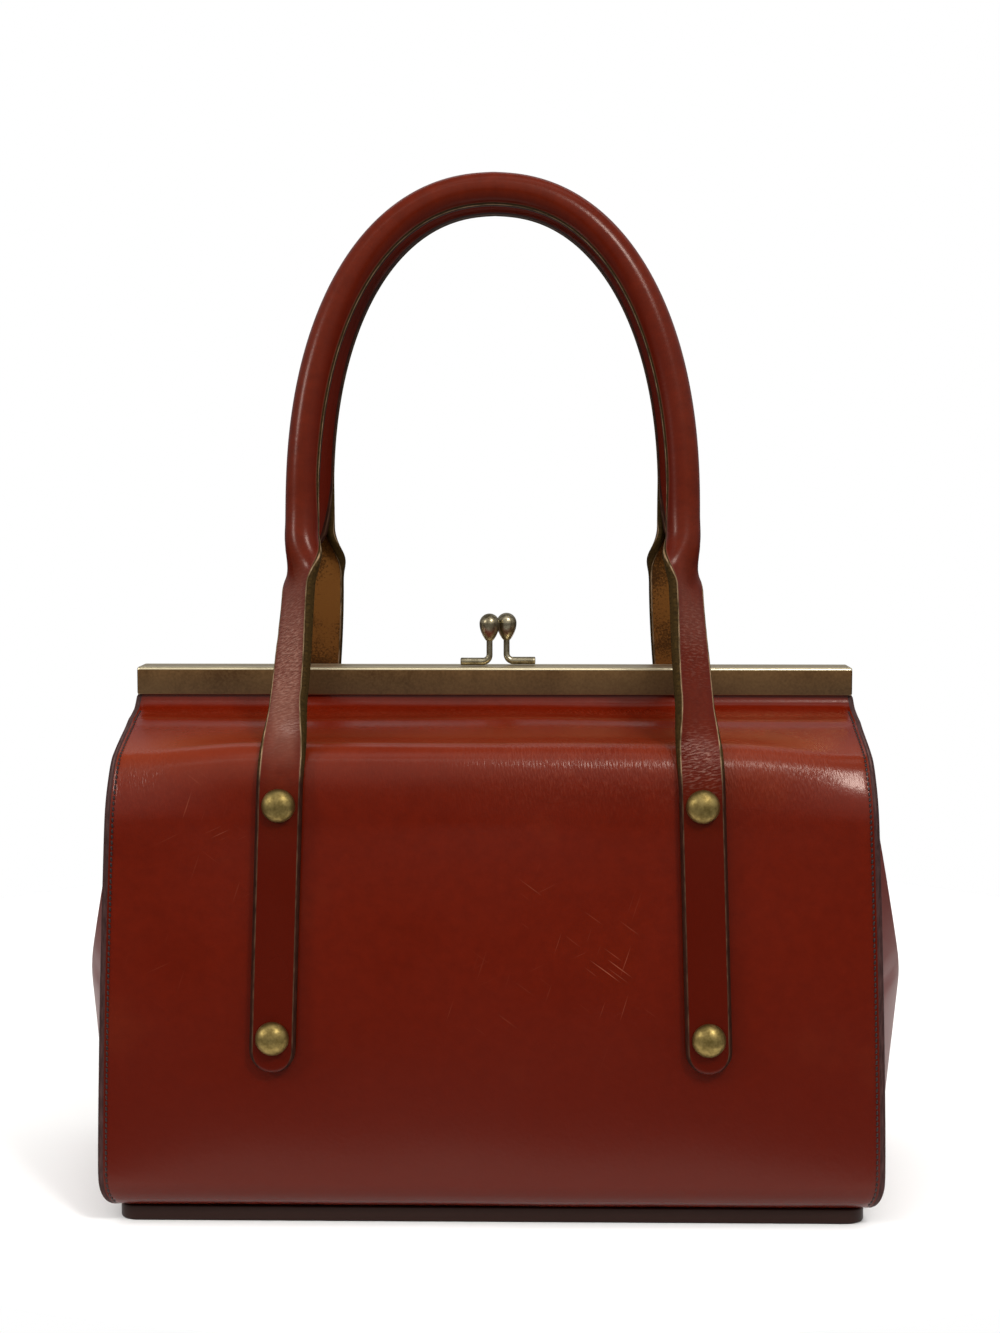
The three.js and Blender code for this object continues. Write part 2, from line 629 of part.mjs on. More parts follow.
// Where the handle runs at a share of its length, and how its strip stands and is rolled there.
function handleStation(curve, share, twistAtRoll) {
  const centre = curve.getPointAt(share);
  const along = curve.getTangentAt(share);
  const height = centre.z;
  const rollStart = archFootHeight - ROLL_BELOW_FOOT;
  const bendHeight = curve.getPointAt(0).z;
  const rolled = smooth(height, rollStart, rollStart + ROLL_LENGTH);
  const twist =
    radians(twistAtRoll) * smooth(height, bendHeight, rollStart) +
    radians(90 - twistAtRoll) * smooth(height, rollStart, rollStart + 2 * ROLL_LENGTH);
  const front = new THREE.Vector3(0, -1, 0);
  front.addScaledVector(along, -front.dot(along)).normalize();
  const outwards = new THREE.Vector3().crossVectors(front, along);
  const normal = front.multiplyScalar(Math.cos(twist)).addScaledVector(outwards, Math.sin(twist));
  const flatWidth = lerp(STRAP_WIDTH, STRAP_NECK_WIDTH, smooth(height, bendHeight, rollStart));
  const across = new THREE.Vector3().crossVectors(along, normal);
  return {
    centre,
    normal,
    across,
    along,
    width: lerp(flatWidth, ROLL_WIDTH, rolled),
    roll: Math.max(radians(2), radians(ROLL_ANGLE) * rolled),
  };
}

// The strip's outline in its own plane: across the strip, and out along its normal.
function stripSection({ width, roll }, thickness) {
  const radius = width / roll;
  const toCentre = radius * (1 - Math.sin(roll / 2) / (roll / 2));
  const edge = (share, away) => {
    const angle = roll * (share - 0.5);
    const reach = radius + away;
    return new THREE.Vector2(reach * Math.sin(angle), reach * Math.cos(angle) - radius + toCentre);
  };
  const shares = steps(0, 1, STRIP_POINTS - 1);
  const grain = shares.map((share) => edge(share, thickness / 2));
  const flesh = shares.map((share) => edge(share, -thickness / 2));
  return [...grain, ...flesh.toReversed()];
}

function ringAt(station, thickness, shift) {
  return stripSection(station, thickness).map((point) =>
    station.centre
      .clone()
      .addScaledVector(station.along, shift)
      .addScaledVector(station.across, point.x)
      .addScaledVector(station.normal, point.y),
  );
}

const handleCurve = new THREE.CatmullRomCurve3(handlePoints(), false, "centripetal");
const HANDLE_RINGS = 44;
const ROUND_END_ANGLES = [80, 45].map(radians);

function handle(twistAtRoll) {
  const stations = steps(0, 1, HANDLE_RINGS).map((share) => handleStation(handleCurve, share, twistAtRoll));
  const endRing = (station, way) => (angle) =>
    ringAt(station, STRAP_THICKNESS * Math.cos(angle), (way * STRAP_THICKNESS * Math.sin(angle)) / 2);
  const rings = [
    ...ROUND_END_ANGLES.map(endRing(stations[0], -1)),
    ...stations.map((station) => ringAt(station, STRAP_THICKNESS, 0)),
    ...ROUND_END_ANGLES.toReversed().map(endRing(stations.at(-1), 1)),
  ];
  const section = stripSection(stations[0], STRAP_THICKNESS * Math.cos(ROUND_END_ANGLES[0]));
  return loft(rings, section.map((point) => new THREE.Vector2(-point.x, point.y)));
}

// The cord inside the roll, from one end of the full roll to the other.
function handleCore(twistAtRoll) {
  const fullRoll = archFootHeight - ROLL_BELOW_FOOT + ROLL_LENGTH;
  const stations = steps(0, 1, HANDLE_RINGS)
    .map((share) => handleStation(handleCurve, share, twistAtRoll))
    .filter((station) => station.centre.z > fullRoll);
  const points = stations.map(({ centre, normal, width, roll }) => {
    const radius = width / roll;
    return centre.clone().addScaledVector(normal, -radius * (Math.sin(roll / 2) / (roll / 2)));
  });
  const section = new THREE.Shape().absarc(0, 0, CORE_RADIUS, 0, 2 * Math.PI);
  return new THREE.ExtrudeGeometry(section, {
    steps: 24,
    curveSegments: 3,
    extrudePath: new THREE.CatmullRomCurve3(points, false, "centripetal"),
    bevelEnabled: false,
  });
}

// Assembly: the front and the rear are alike, and the rear stands half a turn round from the front

function addStraps(group, half) {
  for (const side of [-1, 1]) {
    const sideName = side * half.turn < 0 ? "left" : "right";
    const strap = new THREE.Group();
    strap.applyMatrix4(strapFrame(side));
    addMesh(strap, `${half.name}_strap_end_${sideName}`, strapEnd(), strapLeather);
    for (const [level, place] of Object.entries(STUD_PLACES)) {
      const at = `${half.name}_${sideName}_${level}`;
      addMesh(strap, `stud_${at}`, stud(), agedBrass).position.y = place;
      addMesh(strap, `stud_back_${at}`, studBack(), agedBrass).position.y = place;
    }
    group.add(strap);
  }
}

function addHalf(half) {
  const group = new THREE.Group();
  const { name } = half;
  const front = panelPath.slice(-2 - Math.ceil((shoulderLow * 180) / Math.PI / ARC_STEP)).slice(0, 2);
  addMesh(group, `${name}_panel`, cut(sheetAcross(panelPath, 0, PANEL_THICKNESS, 0), studHoles(shankHole)), redLeather);
  addMesh(
    group,
    `${name}_stiffener`,
    cut(
      sheetAcross(front, flangeDepth, flangeDepth + STIFFENER_THICKNESS, GUSSET_FLANGE_WIDTH + GUSSET_THICKNESS + 1),
      studHoles(STUD_BACK_RADIUS + SEAT_GAP),
    ),
    board,
  );
  const neck = [ahead(neckPath[0], SEAT_GAP), ...neckPath.slice(1)];
  addMesh(group, `${name}_panel_neck`, sheetAcross(neck, 0, PANEL_THICKNESS, 0), redLeather);
  addMesh(
    group,
    `${name}_neck_lining`,
    sheetAcross(neck, flangeDepth, flangeDepth + LINING_THICKNESS, FRAME_LENGTH / 2 - armInnerEnd + SEAT_GAP),
    liningCloth,
  );
  addMesh(group, `${name}_frame`, frameHalf(half.armX), agedBrass);
  addMesh(group, `${name}_frame_packing`, framePacking(), cotton);
  addMesh(group, `${name}_clasp_knob`, claspKnob(half.turn * CLASP_CENTRE_X), claspNickel);
  addMesh(group, `${name}_handle`, handle(TWIST_AT_ROLL[name]), strapLeather);
  addMesh(group, `${name}_handle_core`, handleCore(TWIST_AT_ROLL[name]), cotton);
  addStraps(group, half);
  if (half.turn < 0) group.rotation.z = Math.PI;
  return group;
}

function slab(halfX, halfY, bottom, thickness, material, name, group) {
  const geometry = new THREE.BoxGeometry(2 * halfX, 2 * halfY, thickness);
  addMesh(group, name, geometry, material).position.z = bottom + thickness / 2;
}

const bag = new THREE.Group();
bag.add(addHalf({ name: "front", turn: 1, armX: innerArmX }));
bag.add(addHalf({ name: "rear", turn: -1, armX: outerArmX }));
for (const [name, side] of [
  ["left", -1],
  ["right", 1],
]) {
  addMesh(bag, `${name}_gusset`, join([gusset(side, gussetHeights), gussetTurnIn(side)]), gussetLeather);
  addMesh(bag, `${name}_gusset_top`, gusset(side, gussetTopHeights), gussetLeather);
  const rivet = addMesh(bag, `hinge_rivet_${name}`, hingeRivet(), agedBrass);
  rivet.position.set(side > 0 ? armInnerEnd : -outerArmX - ARM_THICKNESS - SEAT_GAP, 0, hingeHeight);
}
slab(
  panelHalfWidth(undersideHeight) - BASE_PANEL_END_INSET,
  BASE_HALF_DEPTH - BASE_PANEL_INSET,
  0,
  BASE_PANEL_THICKNESS,
  baseLeather,
  "base_panel",
  bag,
);
slab(
  baseBoardHalfWidth,
  edgeStart - PANEL_THICKNESS - SEAT_GAP,
  undersideHeight + PANEL_THICKNESS + SEAT_GAP,
  BASE_BOARD_THICKNESS,
  board,
  "base_board",
  bag,
);
addMesh(bag, "lining", lining(), liningCloth);

export default bag;
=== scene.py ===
"""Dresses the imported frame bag: leather, edge paint, thread, brass, nickel and cloth over its CAD."""

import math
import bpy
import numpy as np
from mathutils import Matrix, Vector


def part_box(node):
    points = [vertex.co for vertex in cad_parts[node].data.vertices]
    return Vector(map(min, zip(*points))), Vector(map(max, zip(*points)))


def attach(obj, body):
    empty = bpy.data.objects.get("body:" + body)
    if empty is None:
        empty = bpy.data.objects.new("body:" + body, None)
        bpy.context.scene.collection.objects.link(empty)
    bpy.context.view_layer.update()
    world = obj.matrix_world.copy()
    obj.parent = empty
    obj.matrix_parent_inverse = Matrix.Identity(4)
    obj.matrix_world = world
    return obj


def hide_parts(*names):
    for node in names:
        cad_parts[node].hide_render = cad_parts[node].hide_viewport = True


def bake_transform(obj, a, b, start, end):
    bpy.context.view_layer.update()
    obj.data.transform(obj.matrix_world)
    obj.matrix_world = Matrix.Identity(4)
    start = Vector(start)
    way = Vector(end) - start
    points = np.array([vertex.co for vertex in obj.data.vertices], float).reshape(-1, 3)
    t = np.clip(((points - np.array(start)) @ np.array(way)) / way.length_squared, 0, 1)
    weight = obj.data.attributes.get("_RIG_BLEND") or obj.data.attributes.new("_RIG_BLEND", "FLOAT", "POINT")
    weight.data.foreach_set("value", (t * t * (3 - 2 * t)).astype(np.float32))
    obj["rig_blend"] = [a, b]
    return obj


bl_info = {
    "name": "Leather frame bag",
    "version": (1, 0, 0),
    "blender": (4, 5, 0),
    "location": "3D View > Sidebar > Frame Bag",
    "description": "Builds a leather frame bag with a kiss-lock clasp and two rolled handles",
    "category": "Object",
}

from types import SimpleNamespace

import bmesh
import bpy
import numpy as np
from bpy.props import FloatProperty, FloatVectorProperty, PointerProperty
from mathutils import Matrix, Vector, noise

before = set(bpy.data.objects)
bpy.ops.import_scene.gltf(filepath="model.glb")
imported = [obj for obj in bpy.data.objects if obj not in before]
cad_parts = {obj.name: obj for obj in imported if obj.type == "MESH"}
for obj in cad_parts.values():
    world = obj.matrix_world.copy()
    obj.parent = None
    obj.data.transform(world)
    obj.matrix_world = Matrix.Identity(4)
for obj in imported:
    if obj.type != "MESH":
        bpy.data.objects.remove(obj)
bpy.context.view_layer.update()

MM = 0.001
PER_MM = 1000  # a texture scale of PER_MM / 3 repeats every 3 mm
HALVES = {"front": 1, "rear": -1}
SIDES = {"left": -1, "right": 1}
GRAIN, EDGE, FLESH = 0, 1, 2  # the order of the materials on a strip of leather


def linear(hex_colour):
    """An sRGB hex colour as linear red, green and blue."""
    channels = [int(hex_colour[i : i + 2], 16) / 255 for i in (1, 3, 5)]
    return tuple(c / 12.92 if c <= 0.04045 else ((c + 0.055) / 1.055) ** 2.4 for c in channels)


def length(name, description, millimetres):
    return FloatProperty(
        name=name, description=description, default=millimetres * MM, min=0, unit="LENGTH", precision=4
    )


def angle(name, description, degrees):
    return FloatProperty(
        name=name, description=description, default=math.radians(degrees), min=0, subtype="ANGLE"
    )


def colour(name, description, hex_colour):
    return FloatVectorProperty(
        name=name, description=description, default=linear(hex_colour), min=0, max=1, subtype="COLOR"
    )


class BagSizes(bpy.types.PropertyGroup):
    """Sizes of the bag: those of its CAD source, apart from what use has worn or slackened"""

    seat_gap: length("Seat gap", "Between two pieces that lie on each other", 0.3)
    sheet_thickness: length("Sheet thickness", "Leather of the front and rear sheets", 2.2)
    gusset_thickness: length("Gusset thickness", "Leather of the gussets", 1.8)
    stiffener_thickness: length("Stiffener thickness", "Board behind each sheet", 1.8)
    lining_thickness: length("Lining thickness", "Cloth inside the bag", 0.8)
    base_half_depth: length("Base half depth", "Front of the base from the middle of the bag", 65)
    shoulder_half_depth: length("Shoulder half depth", "Shoulder from the middle of the bag", 60)
    shoulder_height: length("Shoulder height", "Where the front starts to turn in", 157.5)
    base_edge_radius: length("Base edge radius", "Turn from the underside to the front", 11)
    shoulder_radius: length("Shoulder radius", "Turn from the front to the neck", 13)
    upper_front_radius: length("Upper front radius", "Soft lean of the front below the shoulder", 40)
    upper_front_turn: angle("Upper front turn", "How far the front leans in below the shoulder", 27)
    worn_shoulder_radius: length("Worn shoulder radius", "Turn into the neck that the leather has taken", 13)
    neck_angle: angle("Neck angle", "Between the neck and the upright", 72)
    neck_top_radius: length("Neck top radius", "Turn of the neck up into the frame", 5)
    turn_under_width: length("Turn-under width", "Sheet that lies under the base", 32)
    width_at_base: length("Width at base", "Width of a sheet at the base", 280.6)
    belly: length("Belly", "How far the middle of each sheet swells", 1.1)
    shoulder_fullness: length("Shoulder fullness", "How far the middle of the shoulder stands out", 4.5)
    shoulder_dip: length("Shoulder dip", "Hollows near the ends of the shoulder", 0.45)
    shoulder_rounding: length("Shoulder rounding", "How far the ends of the shoulder are pressed in", 0.9)
    shoulder_slack: length("Shoulder slack", "Waves below the shoulder", 0.5)
    neck_crease: length("Neck crease", "Crease across the neck", 0.45)
    unevenness: length("Unevenness", "Slow waves of the leather", 0.35)
    base_draw_in: length("Base draw-in", "How far the side edges draw in round the base", 4.5)
    edge_bow: length("Edge bow", "How far the side edges bow out between the base and the frame", 2)
    edge_rounding: length("Edge rounding", "Rounding of the painted edges of the sheets", 1.05)
    edge_band: length("Edge band", "Painted band along the edges of the sheets", 2.25)
    base_panel_thickness: length("Base panel thickness", "Leather under the bag", 5.5)
    base_spread: length("Base spread", "How far the load has pressed out the ends of the base panel", 3.4)
    base_corner_radius: length("Base corner radius", "Corners of the base panel", 7)
    base_board_thickness: length("Base board thickness", "Board inside the base", 2.5)
    frame_length: length("Frame length", "Length of the brass channel", 270)
    frame_height: length("Frame height", "Height of the channel's face", 10.5)
    frame_thickness: length("Frame thickness", "One half of the frame, front to back", 8.3)
    frame_wall: length("Frame wall", "Sheet brass of the channel", 1)
    frame_insert: length("Frame insert", "How far the leather goes up into the channel", 8)
    frame_rounding: length("Frame rounding", "Rounding of the channel's outer top edge", 1.1)
    arm_thickness: length("Arm thickness", "Flat arms that hang from the frame", 2)
    arm_inset: length("Arm inset", "The front half's arms from the ends of the frame", 13)
    arm_top_width: length("Arm top width", "Width of an arm at the frame", 3.2)
    arm_eye_radius: length("Arm eye radius", "Round lower end of an arm", 4.5)
    hinge_drop: length("Hinge drop", "Hinge below the frame", 48.5)
    hinge_head_radius: length("Hinge head radius", "Rivet head", 3.6)
    hinge_head_height: length("Hinge head height", "Rivet head", 1.4)
    hinge_rivet_radius: length("Hinge rivet radius", "Rivet shank", 1.5)
    clasp_foot_radius: length("Clasp foot radius", "Rod that lies on the frame", 1.45)
    clasp_foot_depth: length("Clasp foot depth", "Foot in front of the middle of the bag", 2.3)
    clasp_stem_radius: length("Clasp stem radius", "Rod below the knob", 1.15)
    clasp_ball_radius: length("Clasp knob radius", "Widest part of the knob", 3.8)
    clasp_ball_depth: length("Clasp knob depth", "Knob in front of the middle of the bag", 2.5)
    clasp_height: length("Clasp height", "Top of the knobs above the frame", 20)
    clasp_foot_length: length("Clasp foot length", "Foot from the stem", 11)
    clasp_bend_radius: length("Clasp bend radius", "Turn from the foot to the stem", 2.6)
    gusset_flange: length("Gusset flange", "Gusset sewn behind the edge of a sheet", 5)
    gusset_ridge_height: length("Gusset ridge height", "Where the gusset stands out furthest", 82.5)
    gusset_ridge_bulge: length("Gusset ridge bulge", "Past the edges of the sheets", 15.5)
    gusset_foot_bulge: length("Gusset foot bulge", "Past the edges of the sheets", 6)
    gusset_crown_bulge: length("Gusset crown bulge", "Past the edges of the sheets", 0)
    gusset_top_drop: length("Gusset top drop", "Upper edge of the gusset below the frame", 9.5)
    strap_width: length("Strap width", "Flat ends of the handles", 16.5)
    strap_thickness: length("Strap thickness", "Leather of the handles", 3.6)
    strap_edge_rounding: length("Strap edge rounding", "Rounding of the burnished edges", 1.3)
    strap_edge_band: length("Strap edge band", "Burnished band along the edges", 1.7)
    strap_tip_drop: length("Strap tip drop", "Round tip below the lower stud", 12.6)
    lower_stud_x: length("Lower stud place", "Lower studs from the middle of the bag", 77.5)
    upper_stud_drop: length("Upper stud drop", "Upper studs below the shoulder", 4.5)
    stud_spacing: length("Stud spacing", "Between the two studs of a strap", 83)
    strap_lean: angle("Strap lean", "Towards the middle of the bag", 1.7)
    strap_bend_rise: length("Strap bend rise", "Bend of the strap above its upper stud", 10.5)
    stud_radius: length("Stud radius", "Domed head", 6)
    stud_height: length("Stud height", "Domed head", 5)
    stud_rim: length("Stud rim", "Height of the head's rim", 0.8)
    stud_bite: length("Stud bite", "How far the head is pressed into the strap", 0.25)
    arch_half_width: length("Arch half width", "To the middle of the roll", 69.6)
    arch_foot_rise: length("Arch foot rise", "Foot of the arch above the shoulder", 101.5)
    arch_rise: length("Arch rise", "Top of the arch above its foot", 115.8)
    arch_foot_depth: length("Arch foot depth", "In front of the middle of the bag", 29)
    arch_top_depth: length("Arch top depth", "In front of the middle of the bag", 15)
    roll_width: length("Roll width", "Strip's width where it is rolled", 27.4)
    roll_angle: angle("Roll angle", "How far round the strip is rolled", 350)
    roll_drop: length("Roll drop", "Start of the roll below the foot of the arch", 31)
    roll_length: length("Roll length", "From flat to fully rolled", 22)
    strap_neck_width: length("Strap neck width", "Strip just below the roll", 19)
    front_twist: angle("Front twist", "Turn of the front strap below its roll", 53)
    rear_twist: angle("Rear twist", "Turn of the rear strap below its roll", 12)
    strap_ripple: length("Strap ripple", "Ripples where a strap has flexed", 0.16)
    seam_inset: length("Seam inset", "Stitches from the edge of the sheet", 3.1)
    seam_groove: length("Seam groove", "How far the thread pulls in the leather", 0.28)
    stitch_pitch: length("Stitch pitch", "From one stitch to the next", 2)
    stitch_radius: length("Stitch radius", "Thread", 0.4)


class BagColours(bpy.types.PropertyGroup):
    """Colours of the bag's finishes and of its stage"""

    leather: colour("Leather", "Polished red-brown leather", "#5a1102")
    # Also painted shade: low on the front, in the furrows of wrinkles and towards a roll's seam
    leather_dark_and_shade: colour("Leather shade", "Where polish has gathered", "#480a01")
    # Also painted light on the neck and shoulder, where the slope faces up
    leather_worn_and_lit: colour("Leather wear", "Where the leather is worn on the shoulder", "#6f260c")
    # Also the pale tops of the sheets' wrinkles, in part painted sheen
    scuff: colour("Scuffs", "Pale scratches in the leather", "#96503a")
    # Drawn near black in part as painted shadow, where the underside of the bag is in shade
    base: colour("Base leather", "Dark leather under the bag", "#23120f")
    strap: colour("Strap leather", "Leather of the handles", "#561604")
    strap_dusty: colour("Strap wear", "Dry, rubbed leather of the straps", "#7c5244")
    # Also the scratches of the straps; on the wrinkles' tops this pale colour is in part painted sheen
    strap_rub: colour("Strap wrinkles", "Tops of the wrinkles of the straps", "#b08a7a")
    sheet_edge: colour("Sheet edge", "Painted edges of the sheets and the gussets", "#3a2624")
    sheet_edge_line: colour("Sheet edge line", "Rubbed line along the edge of a sheet", "#5a4440")
    strap_edge: colour("Strap edge", "Burnished edges of the straps", "#2c130b")
    raw_edge: colour("Raw edge", "Edges of the straps where the stain is gone", "#35260e")
    strap_edge_line: colour("Strap edge line", "Rubbed line along the edge of a strap", "#987c5e")
    flesh: colour("Flesh side", "Back of the straps", "#653f19")
    thread: colour("Thread", "Waxed thread of the seams", "#1c0906")
    brass: colour("Brass", "Rubbed brass", "#957048")
    brass_dark: colour("Brass patina", "Aged brass", "#5d4026")
    # On the frame's top edges this bright colour is in part painted highlight
    brass_polish: colour("Polished brass", "Edges that are rubbed bright", "#e0d2ae")
    stud: colour("Stud brass", "Olive brass of the studs", "#9c8752")
    stud_dark: colour("Stud patina", "Green-brown patina of the studs", "#6e5d33")
    nickel: colour("Nickel", "Plated clasp", "#b3a88c")
    nickel_dark: colour("Nickel wear", "Worn plating", "#6b6048")
    cloth: colour("Lining cloth", "Twill inside the bag", "#9a7b52")
    cloth_dark: colour("Lining shade", "Between the threads", "#6d5434")
    board: colour("Board", "Grey board", "#8c8474")
    cotton: colour("Cotton", "Cord inside the handles and the frame", "#d8ccb0")
    floor: colour("Floor", "Paper under the bag", "#f4f3f1")


# Materials: each function builds its nodes in a tree and gives what goes into the Principled shader


WHITE, BLACK = (1, 1, 1, 1), (0, 0, 0, 1)


def join(tree, node, inputs):
    """Sets a node's inputs, from values or from other nodes' outputs. None leaves an input as it is."""
    for key, value in inputs.items():
        if isinstance(value, bpy.types.NodeSocket):
            tree.links.new(value, node.inputs[key])
        elif value is not None:
            node.inputs[key].default_value = value


def add(tree, kind, inputs=None, out=0, ramp=(), **settings):
    """Adds a shader node with its settings, inputs and ramp stops, and gives one of its outputs."""
    made = tree.nodes.new("ShaderNode" + kind)
    for name, value in settings.items():
        setattr(made, name, value)
    if ramp:
        stops = made.color_ramp.elements
        stops.remove(stops[1])
        stops[0].position, stops[0].color = ramp[0]
        for position, stop_colour in ramp[1:]:
            stops.new(position).color = stop_colour
    join(tree, made, inputs or {})
    return made.outputs[out]


def material(name, surface, *looks, **more_looks):
    """A material by name, made once: its surface function gives what goes into its Principled shader."""
    made = bpy.data.materials.get(name)
    if not made:
        made = bpy.data.materials.new(name)
        made.use_nodes = True
        tree = made.node_tree
        join(tree, tree.nodes["Principled BSDF"], surface(tree, *looks, **more_looks))
    return made


def shades(base, *stops):
    """Stops of a ramp in darker and lighter shades of a colour."""
    return tuple((place, (*(strength * channel for channel in base[:3]), 1)) for place, strength in stops)


def glazed_leather(
    tree,
    base,
    dark,
    light,
    scuff,
    pebble_mm=1.3,
    wrinkle_mm=(4, 4),
    wrinkle_depth=0.1,
    contrast=0.0,
    dust=0.2,
    gloss=0.3,
):
    """Full-grain calf, dyed through and glazed: deep colour with faint clouds of polish, fine pebbles that
    break up the highlights, a few pale scratches, wrinkles where it has flexed, and darker dye along the
    edges. The wrinkles' furrows get painted shade, and their tops a pale colour that is in part painted
    sheen."""
    place = add(tree, "Attribute", out="Vector", attribute_name="surface")
    wear, scuffed, creases, edge = (
        add(tree, "Attribute", out="Fac", attribute_name=name) for name in ("wear", "scuff", "crease", "edge")
    )
    clouds = add(tree, "TexNoise", {"Vector": place, "Scale": PER_MM / 62, "Detail": 3, "Roughness": 0.55})
    tone = add(tree, "ValToRGB", {"Fac": clouds}, ramp=((0, dark), (0.45, base), (0.6, base), (1, light)))
    mottle = add(tree, "TexNoise", {"Vector": place, "Scale": PER_MM / 5, "Detail": 5, "Roughness": 0.7})
    deepen = 0.5 * (contrast - 0.08)
    spots = (0.9 - deepen, 0.88 - deepen, 0.86 - deepen, 1)
    mottle_shade = add(tree, "ValToRGB", {"Fac": mottle}, ramp=((0.35, spots), (0.65, (1.05, 1.06, 1.06, 1))))
    tone = add(tree, "Mix", {0: 1.0, 6: tone, 7: mottle_shade}, 2, data_type="RGBA", blend_type="MULTIPLY")
    # Lighter where the wear mark is above zero and darker where it is below. Beside real wear, dust and
    # polish,
    # this paints light on the sheets' upward slope, and shade low on the front and towards a roll's seam.
    rubbed = add(tree, "Math", {0: wear, 1: clouds}, operation="MULTIPLY")
    rubbed = add(tree, "Math", {0: rubbed, 1: 1.7}, operation="MULTIPLY", use_clamp=True)
    handled = add(tree, "Math", {0: wear, 1: -1.0}, operation="MULTIPLY", use_clamp=True)

    # Scratches are about 0.2 mm wide, drawn a little wider so that they show.
    hairlines = None
    for turn, seed in ((0.45, 0.0), (1.25, 7.3), (2.5, 3.1)):
        stretch = {"Location": (seed, seed, 0), "Rotation": (0, 0, turn), "Scale": (20 * MM, 0.8 * MM, 1)}
        across = add(tree, "Mapping", {"Vector": place, **stretch}, vector_type="TEXTURE")
        lines = add(tree, "TexNoise", {"Vector": across, "Scale": 1, "Detail": 0})
        thin = add(tree, "MapRange", {"Value": lines, "From Min": 0.78, "From Max": 0.9})
        if hairlines is not None:
            thin = add(tree, "Math", {0: hairlines, 1: thin}, operation="MAXIMUM")
        hairlines = thin
    scratches = add(tree, "Math", {0: hairlines, 1: scuffed}, operation="MULTIPLY")

    # Wrinkles are pale on their tops, partly as a rubbed finish and partly as painted sheen, and dark in
    # their furrows, as painted shade.
    stretch = {"Rotation": (0, 0, 0.12), "Scale": (wrinkle_mm[0] * MM, wrinkle_mm[1] * MM, 1)}
    across = add(tree, "Mapping", {"Vector": place, **stretch}, vector_type="TEXTURE")
    wrinkles = add(tree, "TexNoise", {"Vector": across, "Scale": 1, "Detail": 1.5})
    ridges = add(tree, "MapRange", {"Value": wrinkles, "From Min": 0.5, "From Max": 0.66, "To Max": contrast})
    depth = {"From Min": 0.36, "From Max": 0.48, "To Min": 1.4 * contrast, "To Max": 0}
    furrows = add(tree, "MapRange", {"Value": wrinkles, **depth})
    crease_height, tops, deep = (
        add(tree, "Math", {0: form, 1: creases}, operation="MULTIPLY") for form in (wrinkles, ridges, furrows)
    )
    band = {"From Min": 0.4 * MM, "From Max": 4.5 * MM, "To Min": 0.75, "To Max": 0}
    near_edge = add(tree, "MapRange", {"Value": edge, **band})
    for amount, over in (
        (handled, dark),
        (rubbed, light),
        (scratches, scuff),
        (tops, scuff),
        (deep, dark),
        (near_edge, dark),
    ):
        tone = add(tree, "Mix", {0: amount, 6: tone, 7: over}, 2, data_type="RGBA")

    creased = add(tree, "Math", {0: creases, 1: 1.0}, operation="MULTIPLY", use_clamp=True)
    polish = {"From Min": 0.3, "From Max": 0.75, "To Min": 0.2 + dust, "To Max": 0.27 + dust}
    patches = add(tree, "MapRange", {"Value": clouds, **polish})
    dullness = add(tree, "Math", {0: creased, 1: 0.06 + 2 * dust, 2: patches}, operation="MULTIPLY_ADD")

    cells = {"Vector": place, "Scale": PER_MM / pebble_mm, "Smoothness": 0.6}
    pebbles = add(tree, "TexVoronoi", cells, feature="SMOOTH_F1")
    pores = add(tree, "TexNoise", {"Vector": place, "Scale": PER_MM / 0.6, "Detail": 2})
    normal = None
    for form, strength, depth_mm in (
        (pebbles, 0.2, 0.1),
        (pores, 0.15, 0.05),
        (crease_height, 1.0, wrinkle_depth),
        (scratches, 0.4, 0.08),
    ):
        bump = {"Height": form, "Strength": strength, "Distance": depth_mm * MM, "Normal": normal}
        normal = add(tree, "Bump", bump, invert=form is scratches)
    return {
        "Base Color": tone,
        "Roughness": dullness,
        "IOR": 1.5,
        "Specular IOR Level": gloss,
        "Specular Tint": (1.0, 0.8, 0.7, 1),
        "Normal": normal,
    }


